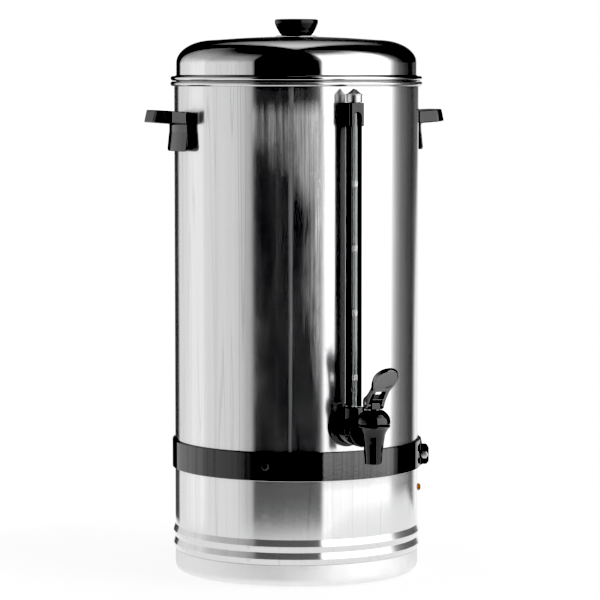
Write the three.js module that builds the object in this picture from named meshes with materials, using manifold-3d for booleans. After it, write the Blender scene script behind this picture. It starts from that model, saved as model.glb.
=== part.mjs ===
// Coffee percolator urn for about 100 cups: a domed lid, a polished tank with a sight gauge and
// a self-closing tap, a clamp band, and a base that holds the heaters and the controls.
// Millimetres, +Z up. The urn stands on z = 0 and its tap points along -Y.

import * as THREE from "three";
import { mergeVertices } from "three/addons/utils/BufferGeometryUtils.js";
import Module from "manifold-3d";

// ---------- Driving dimensions ----------

const LIFT = 4.5; // heights are counted from this far above the standing surface
const AXIS_OFFSET = 49; // the urn's axis in Y, so that the origin is under the middle of the whole
const SHEET = 0.8; // sheet steel
const GAP = 0.3; // clearance between pieces that touch
const SHELL_SIDES = 36; // facets round the big shells

const TANK_R = 120; // outer radius of tank and base
const TANK_INNER_R = TANK_R - SHEET;
const RIM_R = 123.7; // outer radius of the rolled rim and of the lid's bead
const RIM_Z = 476; // middle of the rolled rim
const RIM_ROUND = 2.4;
const TANK_BOTTOM_Z = 103.5;
const FLOOR_Z = 122; // underside of the tank's floor
const WELL_Z = 110; // underside of the pump well
const WELL_R = 32.5;

const LID_TOP_Z = 522;
const LID_R = 118;
const LID_SHOULDER = { r: 82, z: 496, wide: 36, high: 22.5 }; // centre and half axes of its corner
const LID_SKIRT_Z = 468;
const KNOB_TOP_Z = 539;

const BASKET = { r: 100, rim: 103, low: 330, high: 430, chimney: 7 };
const RISER_R = 6;
const RISER_BORE = 4.75;
const RISER_TOP_Z = 455;

const GRIP = { low: 437, high: 449, reach: 155, draft: 3, rise: 0.07, screwZ: 443, screwAngle: 8.2 };
const GUARD = { inner: 124, outer: 126.6, low: 411, flare: 2, top: 23, bottom: 25 };

const GAUGE_X = 139; // axis of the sight tube, from the urn's axis
const GAUGE_TUBE = { r: 4.4, bore: 3.3, low: 165.5, high: 454.5 };
const CHANNEL = { back: 132.4, front: 144.4, half: 5.6, low: 172.3, high: 449.5 };
const BRACKET = { low: 436.5, high: 458.5, half: 7.7, front: 146.2, screws: [440.5, 453.5] };
const CAP_TOP_Z = 471.7;

const TAP_Z = 150; // axis of the elbow
const TAP_X = 184; // axis of the tap's barrel
const SHANK_R = 8.5;
const UNION = { low: 150.3, lip: 160.1, high: 163, r: 14.5 };
const SPOUT_Z = 122.4;
const PIVOT_Z = 180;
const BONNET_Z = 173.5;
const LEVER = { lean: 46, reach: 50.2, legIn: 5, legOut: 8.6, paddle: [14, 12.4] };
const FLANGE_R = 18; // flange of the elbow against the tank
const BONNET_R = 15.8;

const BAND = { low: 99.5, high: 126.7, inner: 121.4, outer: 122.7, earAngle: -23, ear: 130.8 };
const EAR = { low: 100.6, high: 119.6 }; // bent ends of the band
const BAND_SCREW_Z = 113.2;
const BAND_SCREW_ANGLES = [-127, -7, 113];

const SEAM_Z = 18.1; // joint between base shell and base pan
const PAN_R = 119.9;
const FOOT_CIRCLE = 98;
const FOOT_ANGLES = { front: -90, right: 30, left: 150 };

const LAMP = { angle: -23, z: 77, r: 3 };
const BEADS = [24, 36.2]; // rolled beads of the base
const SWITCH = { angle: 0, z: 80, pivot: 117, half: 14, off: 8 };
const INLET = { angle: 90, z: 70, wide: 13.4, high: 10 };

// ---------- Finishes ----------

const FINISHES = {
  polished_steel: { color: 0xc9ccd0, roughness: 0.12, metalness: 1 },
  satin_steel: { color: 0xa9acb0, roughness: 0.42, metalness: 1 },
  black_plastic: { color: 0x0d0d0e, roughness: 0.25, metalness: 0 },
  chrome: { color: 0xd6d9dc, roughness: 0.08, metalness: 1 },
  rubber: { color: 0x1b1b1b, roughness: 0.8, metalness: 0 },
  clear_glass: { color: 0xe6eef0, roughness: 0.05, metalness: 0 },
  amber_lens: { color: 0xe07010, roughness: 0.15, metalness: 0 },
  heater_metal: { color: 0x8c8276, roughness: 0.5, metalness: 1 },
  ceramic: { color: 0xd8d2c4, roughness: 0.7, metalness: 0 },
  wire_cover: { color: 0xb8562a, roughness: 0.6, metalness: 0 },
};

function piece(parent, name, geometry, finish) {
  const mesh = new THREE.Mesh(geometry, new THREE.MeshStandardMaterial(FINISHES[finish]));
  mesh.name = name;
  parent.add(mesh);
  return mesh;
}

// ---------- Joining and cutting ----------

const wasm = await Module();
wasm.setup();

function signedVolume(geometry) {
  const points = geometry.attributes.position;
  const corners = geometry.index.array;
  const [a, b, c] = [new THREE.Vector3(), new THREE.Vector3(), new THREE.Vector3()];
  let total = 0;
  for (let i = 0; i < corners.length; i += 3) {
    a.fromBufferAttribute(points, corners[i]);
    b.fromBufferAttribute(points, corners[i + 1]);
    c.fromBufferAttribute(points, corners[i + 2]);
    total += a.dot(b.cross(c)) / 6;
  }
  return total;
}

// Merges shared points, drops the empty triangles on a lathe's axis and turns the faces outwards.
function closed(geometry) {
  const bare = geometry.clone();
  bare.deleteAttribute("normal");
  bare.deleteAttribute("uv");
  const merged = mergeVertices(bare, 1e-3);
  const corners = merged.index.array;
  const kept = [];
  for (let i = 0; i < corners.length; i += 3) {
    const [a, b, c] = corners.slice(i, i + 3);
    if (a !== b && b !== c && c !== a) kept.push(a, b, c);
  }
  merged.setIndex(kept);
  if (signedVolume(merged) < 0) merged.setIndex(kept.reverse());
  return merged;
}

function solidOf(geometry) {
  const vertProperties = new Float32Array(geometry.attributes.position.array);
  const triVerts = new Uint32Array(geometry.index.array);
  return new wasm.Manifold(new wasm.Mesh({ numProp: 3, vertProperties, triVerts }));
}

function geometryOf(solid) {
  const mesh = solid.getMesh();
  const geometry = new THREE.BufferGeometry();
  geometry.setAttribute("position", new THREE.BufferAttribute(mesh.vertProperties, 3));
  geometry.setIndex(new THREE.BufferAttribute(mesh.triVerts, 1));
  return geometry;
}

function joined(...parts) {
  return geometryOf(parts.map(solidOf).reduce((whole, part) => whole.add(part)));
}

function cut(body, ...tools) {
  return geometryOf(tools.reduce((rest, tool) => rest.subtract(solidOf(tool)), solidOf(body)));
}

function common(body, mould) {
  return geometryOf(solidOf(body).intersect(solidOf(mould)));
}

// ---------- Basic shapes ----------

// Points of a circular or elliptical arc, angles in degrees.
function arc([x, y], [wide, high], from, to, steps) {
  return Array.from({ length: steps + 1 }, (_, step) => {
    const angle = THREE.MathUtils.degToRad(from + ((to - from) * step) / steps);
    return [x + wide * Math.cos(angle), y + high * Math.sin(angle)];
  });
}

// A profile of [radius, height] turned about Z.
function turned(profile, sides = 18) {
  const points = profile.map(([radius, height]) => new THREE.Vector2(radius, height));
  return closed(new THREE.LatheGeometry(points, sides).rotateX(Math.PI / 2));
}

function rod(radius, low, high, sides = 14) {
  return turned([[0, low], [radius, low], [radius, high], [0, high]], sides);
}

function ring(inner, outer, low, high, sides = 18) {
  return turned([[inner, low], [outer, low], [outer, high], [inner, high], [inner, low]], sides);
}

function block([x0, x1], [y0, y1], [z0, z1]) {
  const box = new THREE.BoxGeometry(x1 - x0, y1 - y0, z1 - z0);
  return closed(box.translate((x0 + x1) / 2, (y0 + y1) / 2, (z0 + z1) / 2));
}

// An outline in X and Y, extruded from one height to another.
function slab(outline, low, high) {
  const shape = new THREE.Shape(outline.map(([x, y]) => new THREE.Vector2(x, y)));
  const solid = new THREE.ExtrudeGeometry(shape, { depth: high - low, bevelEnabled: false });
  return closed(solid.translate(0, 0, low));
}

// An outline in X and Z, extruded along Y.
function sideways(outline, from, to) {
  return slab(outline, -to, -from).rotateX(Math.PI / 2);
}

// An outline in Y and Z, extruded along X.
function facing(outline, from, to) {
  const axes = [new THREE.Vector3(0, 1, 0), new THREE.Vector3(0, 0, 1), new THREE.Vector3(1, 0, 0)];
  return slab(outline, from, to).applyMatrix4(new THREE.Matrix4().makeBasis(...axes));
}

// Half an outline, on the side where Y is positive, completed by its mirror image.
function mirrored(half) {
  return [...half, ...half.map(([x, y]) => [x, -y]).reverse()];
}

function pipe(curve, radius, steps, sides = 8) {
  const section = new THREE.Shape(
    arc([0, 0], [radius, radius], 0, 360 - 360 / sides, sides - 1)
      .map(([x, y]) => new THREE.Vector2(x, y)));
  const options = { steps, extrudePath: curve, bevelEnabled: false };
  return closed(new THREE.ExtrudeGeometry(section, options));
}

function smoothPath(points) {
  return new THREE.CatmullRomCurve3(points.map((point) => new THREE.Vector3(...point)));
}

function alongX(geometry) {
  return geometry.rotateY(Math.PI / 2);
}

function alongY(geometry) {
  return geometry.rotateX(-Math.PI / 2);
}

function turnedTo(degrees, geometry) {
  return geometry.rotateZ(THREE.MathUtils.degToRad(degrees));
}

// A cutter for a round hole through the wall, at an angle round the urn.
function wallHole(radius, degrees, height) {
  return turnedTo(degrees, alongX(rod(radius, 108, 135, 10)).translate(0, 0, height));
}

// A round-headed screw along +Z, with the underside of its head at z = 0.
function screw({ head, thick, shank, length }) {
  const edge = 0.7 * head;
  return turned([
    [0, -thick], [edge, -thick], [head, -0.45 * thick], [head, 0],
    [shank, 0], [shank, length], [0, length],
  ], 10);
}

// A hexagonal prism along +Z, given across its flats.
function hexagon(acrossFlats, low, high) {
  return rod(acrossFlats / Math.sqrt(3), low, high, 6);
}

// A group whose +X points outwards at an angle round the urn.
function outwards(parent, degrees) {
  const side = new THREE.Group();
  side.rotation.z = THREE.MathUtils.degToRad(degrees);
  parent.add(side);
  return side;
}

// ---------- Tank ----------

function addTank(urn) {
  const curl = arc([TANK_R + 1.3, RIM_Z], [RIM_ROUND, RIM_ROUND], -75, 123, 5);
  const sheet = turned([
    [TANK_INNER_R, TANK_BOTTOM_Z], [TANK_R, TANK_BOTTOM_Z], [TANK_R, RIM_Z - 2.1],
    ...curl, [TANK_INNER_R, RIM_Z + 1.5], [TANK_INNER_R, TANK_BOTTOM_Z],
  ], SHELL_SIDES);
  const gripHoles = [0, 180].flatMap((side) =>
    [-1, 1].map((hand) => wallHole(2.4, side + hand * GRIP.screwAngle, GRIP.screwZ)));
  piece(urn, "tank_wall", cut(
    sheet,
    wallHole(SHANK_R + 0.5, -90, TAP_Z),
    ...BRACKET.screws.map((height) => wallHole(1.9, -90, height)),
    ...gripHoles,
    ...BAND_SCREW_ANGLES.map((angle) => wallHole(2.4, angle, BAND_SCREW_Z)),
  ), "polished_steel");

  const edge = TANK_INNER_R - GAP;
  piece(urn, "tank_floor", turned([
    [0, WELL_Z], [WELL_R - 2, WELL_Z], [WELL_R, WELL_Z + 2], [WELL_R, FLOOR_Z],
    [edge - 3, FLOOR_Z], [edge, FLOOR_Z + 3], [edge, FLOOR_Z + 9], [edge - SHEET, FLOOR_Z + 9],
    [edge - SHEET, FLOOR_Z + 3.4], [edge - 3.4, FLOOR_Z + SHEET],
    [WELL_R - SHEET, FLOOR_Z + SHEET], [WELL_R - SHEET, WELL_Z + 2.4],
    [WELL_R - 2.4, WELL_Z + SHEET], [0, WELL_Z + SHEET],
  ], SHELL_SIDES), "satin_steel");
}

// ---------- Lid ----------

function addLid(urn) {
  const { r, z, wide, high } = LID_SHOULDER;
  const screwHole = 2.3;
  const domeZ = (radius) => LID_TOP_Z - (LID_TOP_Z - z - high) * (radius / r) ** 2;
  const inside = LID_R - SHEET;
  piece(urn, "lid_shell", turned([
    [LID_R, LID_SKIRT_Z], [LID_R, 479], [122.4, 479], [RIM_R, 481.3], [122.4, 483.6], [LID_R, 484],
    ...arc([r, z], [wide, high], 0, 90, 4), [r / 2, domeZ(r / 2)], [screwHole, domeZ(screwHole)],
    [screwHole, domeZ(screwHole) - SHEET], [r / 2, domeZ(r / 2) - SHEET],
    ...arc([r, z], [wide - SHEET, high - SHEET], 90, 0, 4), [inside, LID_SKIRT_Z],
    [LID_R, LID_SKIRT_Z],
  ], SHELL_SIDES), "polished_steel");

  const washerZ = LID_TOP_Z + GAP;
  const knobZ = washerZ + 0.7 + GAP;
  piece(urn, "knob_washer", ring(screwHole + 0.1, 20.7, washerZ, washerZ + 0.7), "chrome");
  const knob = turned([
    [0, knobZ], [14.8, knobZ], [16.2, 525], [18.3, 528.3], [20.4, 532], [21.1, 535], [21, 537.5],
    [20, KNOB_TOP_Z], [0, KNOB_TOP_Z],
  ]);
  piece(urn, "lid_knob", cut(knob, rod(screwHole, 520, 533, 12)), "black_plastic");
  const lidScrew = screw({ head: 4, thick: 2.4, shank: 2, length: 11.6 });
  piece(urn, "knob_screw", lidScrew.translate(0, 0, LID_TOP_Z - SHEET - GAP), "chrome");
}

// ---------- Percolator: pump tube, basket and spreader ----------

// Cutters for slots that point outwards, evenly round a plate.
function radialSlots(count, from, to, width, low, high) {
  return Array.from({ length: count }, (_, index) =>
    turnedTo((360 * index) / count, block([from, to], [-width / 2, width / 2], [low, high])));
}

function addPercolator(urn) {
  const footZ = WELL_Z + SHEET + GAP;
  const tubeZ = 128.4;
  const collar = { r: 14, low: BASKET.low - 4.3, high: BASKET.low - GAP };
  piece(urn, "riser_tube", turned([
    [RISER_BORE, tubeZ], [RISER_R, tubeZ], [RISER_R, collar.low], [collar.r, collar.low],
    [collar.r, collar.high], [RISER_R, collar.high], [RISER_R, RISER_TOP_Z],
    [RISER_BORE, RISER_TOP_Z], [RISER_BORE, tubeZ],
  ], 16), "polished_steel");
  piece(urn, "riser_foot", turned([
    [28, footZ], [28, 118], [20, 126], [8, tubeZ - GAP], [RISER_BORE, tubeZ - GAP],
    [RISER_BORE, 126.8], [19.5, 124.8], [27, 117.4], [27, footZ], [28, footZ],
  ], 20), "satin_steel");

  const { r, rim, low, high, chimney } = BASKET;
  const basket = turned([
    [chimney, low], [r - 3, low], [r, low + 3], [r, high - 1.5], [rim, high - 1.5], [rim, high],
    [r - SHEET, high], [r - SHEET, low + 3.4], [r - 3.4, low + SHEET],
    [chimney + SHEET, low + SHEET], [chimney + SHEET, high - 2], [chimney, high - 2],
    [chimney, low],
  ], SHELL_SIDES);
  piece(urn, "coffee_basket", cut(
    basket,
    ...radialSlots(9, 24, 88, 3, low - 1, low + 2),
  ), "satin_steel");

  const spreaderZ = high + 0.5;
  const spreader = turned([
    [chimney, spreaderZ], [101.5, spreaderZ], [101.5, spreaderZ + 4], [100.7, spreaderZ + 4],
    [100.7, spreaderZ + SHEET], [chimney, spreaderZ + SHEET], [chimney, spreaderZ],
  ], SHELL_SIDES);
  piece(urn, "water_spreader", cut(
    spreader, ...radialSlots(9, 24, 84, 3, spreaderZ - 1, spreaderZ + 2),
  ), "satin_steel");
}

// ---------- Side handles ----------

function handleShape() {
  const { low, high, reach, draft, rise, screwZ, screwAngle } = GRIP;
  const outline = mirrored([
    [114, 27], [120, 27], [126, 25.2], [140.2, 25.2], [149.5, 19], [153.6, 14.6], [reach, 10],
  ]);
  const slope = [[reach - draft, high], [reach + 5, high + 5], [reach + 5, low - 5], [reach, low]];
  const pocket = mirrored([[129, 22.2], [139.2, 22.2], [147, 16.5], [149.3, 10]]);
  const grip = cut(
    slab(outline, low, high),
    rod(GUARD.inner, low - 1, high + 1, SHELL_SIDES),
    sideways(slope, -40, 40),
    slab(pocket, low - 1, high - 3),
  );
  const tilt = new THREE.Matrix4().set(1, 0, 0, 0, 0, 1, 0, 0, rise, 0, 1, -rise * GUARD.inner, 0, 0, 0, 1);
  grip.applyMatrix4(tilt);

  const { inner, outer, flare, top, bottom } = GUARD;
  const sleeve = turned([
    [inner, high], [inner, low - 7], [inner + flare, GUARD.low], [outer + flare, GUARD.low],
    [outer, low - 7], [outer, high], [inner, high],
  ], SHELL_SIDES);
  const plate = facing([
    [-top, high], [-bottom, low - 13], [-bottom, GUARD.low + 5], [5 - bottom, GUARD.low],
    [bottom - 5, GUARD.low], [bottom, GUARD.low + 5], [bottom, low - 13], [top, high],
  ], 110, 132);
  const guard = common(sleeve, plate);

  const hands = [-screwAngle, screwAngle];
  const bosses = hands.map((angle) =>
    turnedTo(angle, alongX(rod(5, TANK_R + GAP, inner + 2, 12)).translate(0, 0, screwZ)));
  const holes = hands.map((angle) => wallHole(2.3, angle, screwZ));
  return cut(joined(grip, guard, ...bosses), ...holes);
}

function addHandles(urn) {
  const sides = { right: 0, left: 180 };
  for (const [name, angle] of Object.entries(sides)) {
    const side = outwards(urn, angle);
    piece(side, `${name}_handle`, handleShape(), "black_plastic");
    for (const [place, hand] of [["back", 1], ["front", -1]]) {
      const way = name === "right" ? hand : -hand;
      const fixing = screw({ head: 3.6, thick: 2.2, shank: 2, length: 8.4 });
      const placed = alongX(fixing).translate(TANK_INNER_R - 0.7, 0, GRIP.screwZ);
      piece(side, `${name}_handle_screw_${place}`, turnedTo(way * GRIP.screwAngle, placed), "chrome");
    }
  }
}

// ---------- Sight gauge ----------

function bracketShape() {
  const { low, high, half, front, screws } = BRACKET;
  const body = joined(
    slab(mirrored([[130, half], [143.5, half], [front, half - 2.7]]), low, high),
    block([TANK_R + 0.4, 132], [-6, 6], [low, high]),
  );
  const room = CHANNEL.half + GAP;
  const roof = CHANNEL.high + 0.5;
  const windowHalf = 4;
  const seat = GAUGE_TUBE.r + 1.6;
  return cut(
    body,
    block([CHANNEL.back - GAP, CHANNEL.front + GAP], [-room, room], [low - 1, roof]),
    block([CHANNEL.front - 1, front + 1], [-windowHalf, windowHalf], [low - 1, roof - windowHalf - 0.5]),
    alongX(rod(windowHalf, CHANNEL.front - 1, front + 1, 16)).translate(0, 0, roof - windowHalf - 0.5),
    rod(seat, roof - 1, high + 1, 16).translate(GAUGE_X, 0, 0),
    ...screws.map((height) => alongX(rod(1.8, 119, 130, 12)).translate(0, 0, height)),
  );
}

function addGauge(urn) {
  const front = outwards(urn, -90);
  const { r, bore, low, high } = GAUGE_TUBE;
  const onAxis = (geometry) => geometry.translate(GAUGE_X, 0, 0);
  piece(front, "gauge_tube", onAxis(ring(bore, r, low, high, 16)), "clear_glass");

  const web = 0.85;
  const channel = [
    [CHANNEL.back, -CHANNEL.half], [CHANNEL.front, -CHANNEL.half],
    [CHANNEL.front, web - CHANNEL.half], [CHANNEL.back + 1.3, web - CHANNEL.half],
    [CHANNEL.back + 1.3, CHANNEL.half - web], [CHANNEL.front, CHANNEL.half - web],
    [CHANNEL.front, CHANNEL.half], [CHANNEL.back, CHANNEL.half],
  ];
  piece(front, "gauge_channel", slab(channel, CHANNEL.low, CHANNEL.high), "black_plastic");

  piece(front, "gauge_bracket", bracketShape(), "black_plastic");
  for (const [name, height] of [["lower", BRACKET.screws[0]], ["upper", BRACKET.screws[1]]]) {
    const fixing = screw({ head: 3.2, thick: 2, shank: 1.5, length: 10 });
    const placed = alongX(fixing).translate(TANK_INNER_R - 0.7, 0, height);
    piece(front, `bracket_screw_${name}`, placed, "chrome");
  }

  const seal = { inner: r + GAP, outer: r + 1.3 };
  piece(front, "upper_gauge_seal", onAxis(ring(seal.inner, seal.outer, 450.4, 454, 16)), "rubber");
  piece(front, "lower_gauge_seal", onAxis(ring(seal.inner, seal.outer, 166, 171.6, 16)), "rubber");

  piece(front, "gauge_cap", onAxis(turned([
    [0, high + GAP], [seal.outer, high + GAP], [seal.outer, BRACKET.high + GAP],
    [BRACKET.half, BRACKET.high + GAP], [BRACKET.half, 466.4], [1.5, CAP_TOP_Z], [0, CAP_TOP_Z],
  ], 20)), "chrome");
}

// ---------- Tap ----------

function elbowShape() {
  const spigot = 10;
  const bore = 5;
  const wallSide = TANK_R + 1.8;
  const level = (radius, from, to, sides = 16) =>
    alongX(rod(radius, from, to, sides)).translate(0, 0, TAP_Z);
  const upright = (radius, from, to, sides = 16) =>
    rod(radius, from, to, sides).translate(GAUGE_X, 0, 0);
  return cut(
    joined(
      level(SHANK_R, 104, 125), level(FLANGE_R, wallSide, 125), level(14, 124, UNION.low - GAP),
      level(spigot, 148, 157), upright(10, TAP_Z, CHANNEL.low - GAP),
    ),
    level(bore, 100, 160, 14),
    upright(GAUGE_TUBE.bore, TAP_Z, 170, 12),
    upright(GAUGE_TUBE.r + 1.6, GAUGE_TUBE.low - GAP, 175, 16),
  );
}

function tapBodyShape() {
  const chamber = 7.2;
  const level = (radius, from, to, sides = 16) =>
    alongX(rod(radius, from, to, sides)).translate(0, 0, TAP_Z);
  const barrel = turned([
    [0, SPOUT_Z], [8.1, SPOUT_Z], [8.6, 130.4], [9.4, 141], [11, 151.6], [14.4, 156.5],
    [BONNET_R - 0.2, 157.5], [BONNET_R - 0.2, 159.8], [11, 159.8], [11, 166], [0, 166],
  ], 18).translate(TAP_X, 0, 0);
  const onAxis = (radius, from, to) => rod(radius, from, to, 16).translate(TAP_X, 0, 0);
  return cut(
    joined(barrel, level(7.2, 158, TAP_X - 8), level(9.8, 157.3, UNION.lip - GAP)),
    level(4.5, 155, TAP_X, 14),
    onAxis(chamber, 144, 170),
    onAxis(5, SPOUT_Z - 1, 150),
  );
}

function leverShape() {
  const { reach, legIn, legOut } = LEVER;
  const paddleMiddle = reach - LEVER.paddle[0];
  const windowEnd = 20;
  const slotEnd = 6;
  const paddle = slab(arc([paddleMiddle, 0], LEVER.paddle, 0, 342, 19), -2.3, 2.3);
  const sides = [-1, 1].map((hand) => {
    const [near, far] = hand > 0 ? [legIn, legOut] : [-legOut, -legIn];
    const leg = block([0, windowEnd + 4], [near, far], [-3.2, 3.2]);
    return joined(leg, alongY(rod(5.6, near, far, 16)));
  });
  const root = block([windowEnd, paddleMiddle - 6], [-legOut, legOut], [-3.2, 2.8]);
  const bridge = block([slotEnd, slotEnd + 3], [-legIn - 1, legIn + 1], [-3.2, 3.2]);
  const whole = cut(
    joined(cut(paddle, block([0, windowEnd], [-legIn, legIn], [-8, 8])), ...sides, root, bridge),
    alongY(rod(1.8, -10, 10, 12)),
  );
  return whole.rotateY(THREE.MathUtils.degToRad(LEVER.lean - 90)).translate(TAP_X, 0, PIVOT_Z);
}

class Helix extends THREE.Curve {
  constructor(radius, low, high, turns) {
    super();
    Object.assign(this, { radius, low, high, turns });
  }

  getPoint(t, target = new THREE.Vector3()) {
    const angle = 2 * Math.PI * this.turns * t;
    const height = this.low + (this.high - this.low) * t;
    return target.set(this.radius * Math.cos(angle), this.radius * Math.sin(angle), height);
  }
}

function addTap(urn) {
  const front = outwards(urn, -90);
  piece(front, "tap_elbow", elbowShape(), "black_plastic");
  const washer = alongX(ring(SHANK_R + 0.5, FLANGE_R - 0.5, 115, TANK_R + 1.5)).translate(0, 0, TAP_Z);
  const drum = rod(TANK_R + GAP, 100, 200, SHELL_SIDES);
  piece(front, "saddle_gasket", cut(washer, drum), "rubber");
  const nut = cut(hexagon(24, 109.5, 117.4), rod(SHANK_R + GAP, 100, 120, 20));
  piece(front, "tap_lock_nut", alongX(nut).translate(0, 0, TAP_Z), "black_plastic");

  const union = turned([
    [10.3, UNION.low], [UNION.r, UNION.low], [UNION.r, UNION.high], [7.6, UNION.high],
    [7.6, UNION.lip], [10.3, UNION.lip], [10.3, UNION.low],
  ]);
  piece(front, "union_nut", alongX(union).translate(0, 0, TAP_Z), "black_plastic");
  piece(front, "tap_body", tapBodyShape(), "black_plastic");

  const onAxis = (geometry) => geometry.translate(TAP_X, 0, 0);
  piece(front, "tap_bonnet", onAxis(turned([
    [11.3, 160.1], [BONNET_R, 160.1], [BONNET_R, 163], [14.6, 167], [10.6, 172], [9.2, 172],
    [9.2, BONNET_Z], [2.6, BONNET_Z], [2.6, 171], [6.2, 171], [6.2, 166.3], [11.3, 166.3],
    [11.3, 160.1],
  ])), "black_plastic");
  const stem = joined(
    turned([
      [0, 148], [2.2, 148], [2.2, 151.3], [5.5, 151.3], [5.5, 152.6], [2.2, 152.6],
      [2.2, 175], [0, 175],
    ], 14),
    block([-3.5, 3.5], [-3.5, 3.5], [BONNET_Z + 0.5, PIVOT_Z + 4]),
  );
  const pinHole = alongY(rod(1.8, -5, 5, 12)).translate(0, 0, PIVOT_Z);
  piece(front, "tap_stem", onAxis(cut(stem, pinHole)), "black_plastic");
  piece(front, "lever_pin", alongY(rod(1.5, -8.6, 8.6, 12)).translate(TAP_X, 0, PIVOT_Z), "chrome");
  piece(front, "tap_lever", leverShape(), "black_plastic");
  piece(front, "seat_cup", onAxis(turned([
    [0, 144.3], [6.2, 144.3], [6.2, 151], [2.5, 151], [2.5, 147.7], [0, 147.7],
  ], 16)), "rubber");
  piece(front, "stem_spring", onAxis(pipe(new Helix(4.5, 153.5, 170.1, 4), 0.45, 40, 4)), "chrome");
}

// ---------- Clamp band ----------

function addBand(urn) {
  const { low, high, inner, outer, earAngle, ear } = BAND;
  const slit = 4;
  const earOut = slit + 1.2;
  const boltX = 126.5;
  const boltZ = 110;
  const earOutline = [
    [inner + 0.4, EAR.low], [ear - 2, EAR.low], [ear, EAR.low + 2], [ear, EAR.high - 2],
    [ear - 2, EAR.high], [inner + 0.4, EAR.high],
  ];
  const strip = cut(
    ring(inner, outer, low, high, SHELL_SIDES),
    turnedTo(earAngle, block([100, 135], [-slit, slit], [low - 1, high + 1])),
    ...BAND_SCREW_ANGLES.map((angle) => wallHole(2.4, angle, BAND_SCREW_Z)),
  );
  const ears = [[-earOut, -slit], [slit, earOut]].map(([from, to]) =>
    turnedTo(earAngle, sideways(earOutline, from, to)));
  const boltHole = alongY(rod(2.4, -10, 10, 12)).translate(boltX, 0, boltZ);
  piece(urn, "clamp_band", cut(joined(strip, ...ears), turnedTo(earAngle, boltHole)), "black_plastic");

  const side = outwards(urn, earAngle);
  const underHead = -earOut - GAP;
  const bolt = joined(hexagon(7, underHead - 2.8, underHead), rod(2, underHead - 0.5, 11, 12));
  piece(side, "band_bolt", alongY(bolt).translate(boltX, 0, boltZ), "chrome");
  const nut = cut(hexagon(7, earOut + GAP, earOut + GAP + 3.2), rod(2.3, 0, 12, 12));
  piece(side, "band_bolt_nut", alongY(nut).translate(boltX, 0, boltZ), "chrome");

  BAND_SCREW_ANGLES.forEach((angle, index) => {
    const fixing = screw({ head: 4.3, thick: 2.3, shank: 2, length: 6.5 }).rotateX(Math.PI);
    const placed = alongX(fixing).translate(outer + GAP, 0, BAND_SCREW_Z);
    piece(urn, `band_screw_${index + 1}`, turnedTo(angle, placed), "satin_steel");
  });
}

// ---------- Base ----------

function addBase(urn) {
  const collar = TANK_R + GAP;
  const beads = BEADS.flatMap((z) => [
    [TANK_R + 1.4, z - 2.4], [TANK_R + 1.9, z], [TANK_R + 1.5, z + 1.7], [TANK_R, z + 6.2],
  ]);
  const shell = turned([
    [TANK_INNER_R, SEAM_Z + GAP], [TANK_R, SEAM_Z + GAP], ...beads,
    [TANK_R, BAND.low - 1.7], [collar + SHEET, BAND.low - GAP], [collar + SHEET, BAND.high - 0.5],
    [collar, BAND.high - 0.5], [collar, BAND.low], [TANK_INNER_R, BAND.low - 1.3],
    [TANK_INNER_R, SEAM_Z + GAP],
  ], SHELL_SIDES);
  const window = (half, tall) => [[-half, -tall], [half, -tall], [half, tall], [-half, tall]];
  const opening = (half, tall, degrees, height) =>
    turnedTo(degrees, facing(window(half, tall), 110, 130).translate(0, 0, height));
  piece(urn, "base_shell", cut(
    shell,
    wallHole(LAMP.r + GAP, LAMP.angle, LAMP.z),
    opening(6.6, SWITCH.half + GAP, SWITCH.angle, SWITCH.z),
    opening(INLET.wide + 0.35, INLET.high + 0.35, INLET.angle, INLET.z),
    ...BAND_SCREW_ANGLES.map((angle) => wallHole(2.4, angle, BAND_SCREW_Z)),
  ), "polished_steel");

  const footPlaces = Object.entries(FOOT_ANGLES).map(([name, angle]) => {
    const turn = THREE.MathUtils.degToRad(angle);
    return [name, FOOT_CIRCLE * Math.cos(turn), FOOT_CIRCLE * Math.sin(turn)];
  });
  const panZ = 1.5 - LIFT;
  const pan = turned([
    [0, panZ], ...arc([PAN_R - 8, panZ + 8], [8, 8], -90, 0, 3), [PAN_R, SEAM_Z],
    [118.8, SEAM_Z], [118.8, SEAM_Z + 9], [118, SEAM_Z + 9], [118, 6], [115.8, panZ + 3.1],
    [111.7, panZ + SHEET],
    [0, panZ + SHEET],
  ], SHELL_SIDES);
  piece(urn, "base_pan", cut(
    pan,
    ...radialSlots(6, 30, 70, 5, -LIFT, 0),
    ...footPlaces.map(([, x, y]) => rod(2.8, -LIFT, 0, 12).translate(x, y, 0)),
  ), "satin_steel");
  for (const [name, x, y] of footPlaces) {
    const foot = turned([[0, 0], [7, 0], [8, 1.2], [2.5, 1.2], [2.5, 5], [0, 5]], 16);
    piece(urn, `${name}_foot`, foot.translate(x, y, -LIFT), "rubber");
  }
}

// ---------- Heaters and wiring ----------

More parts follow.
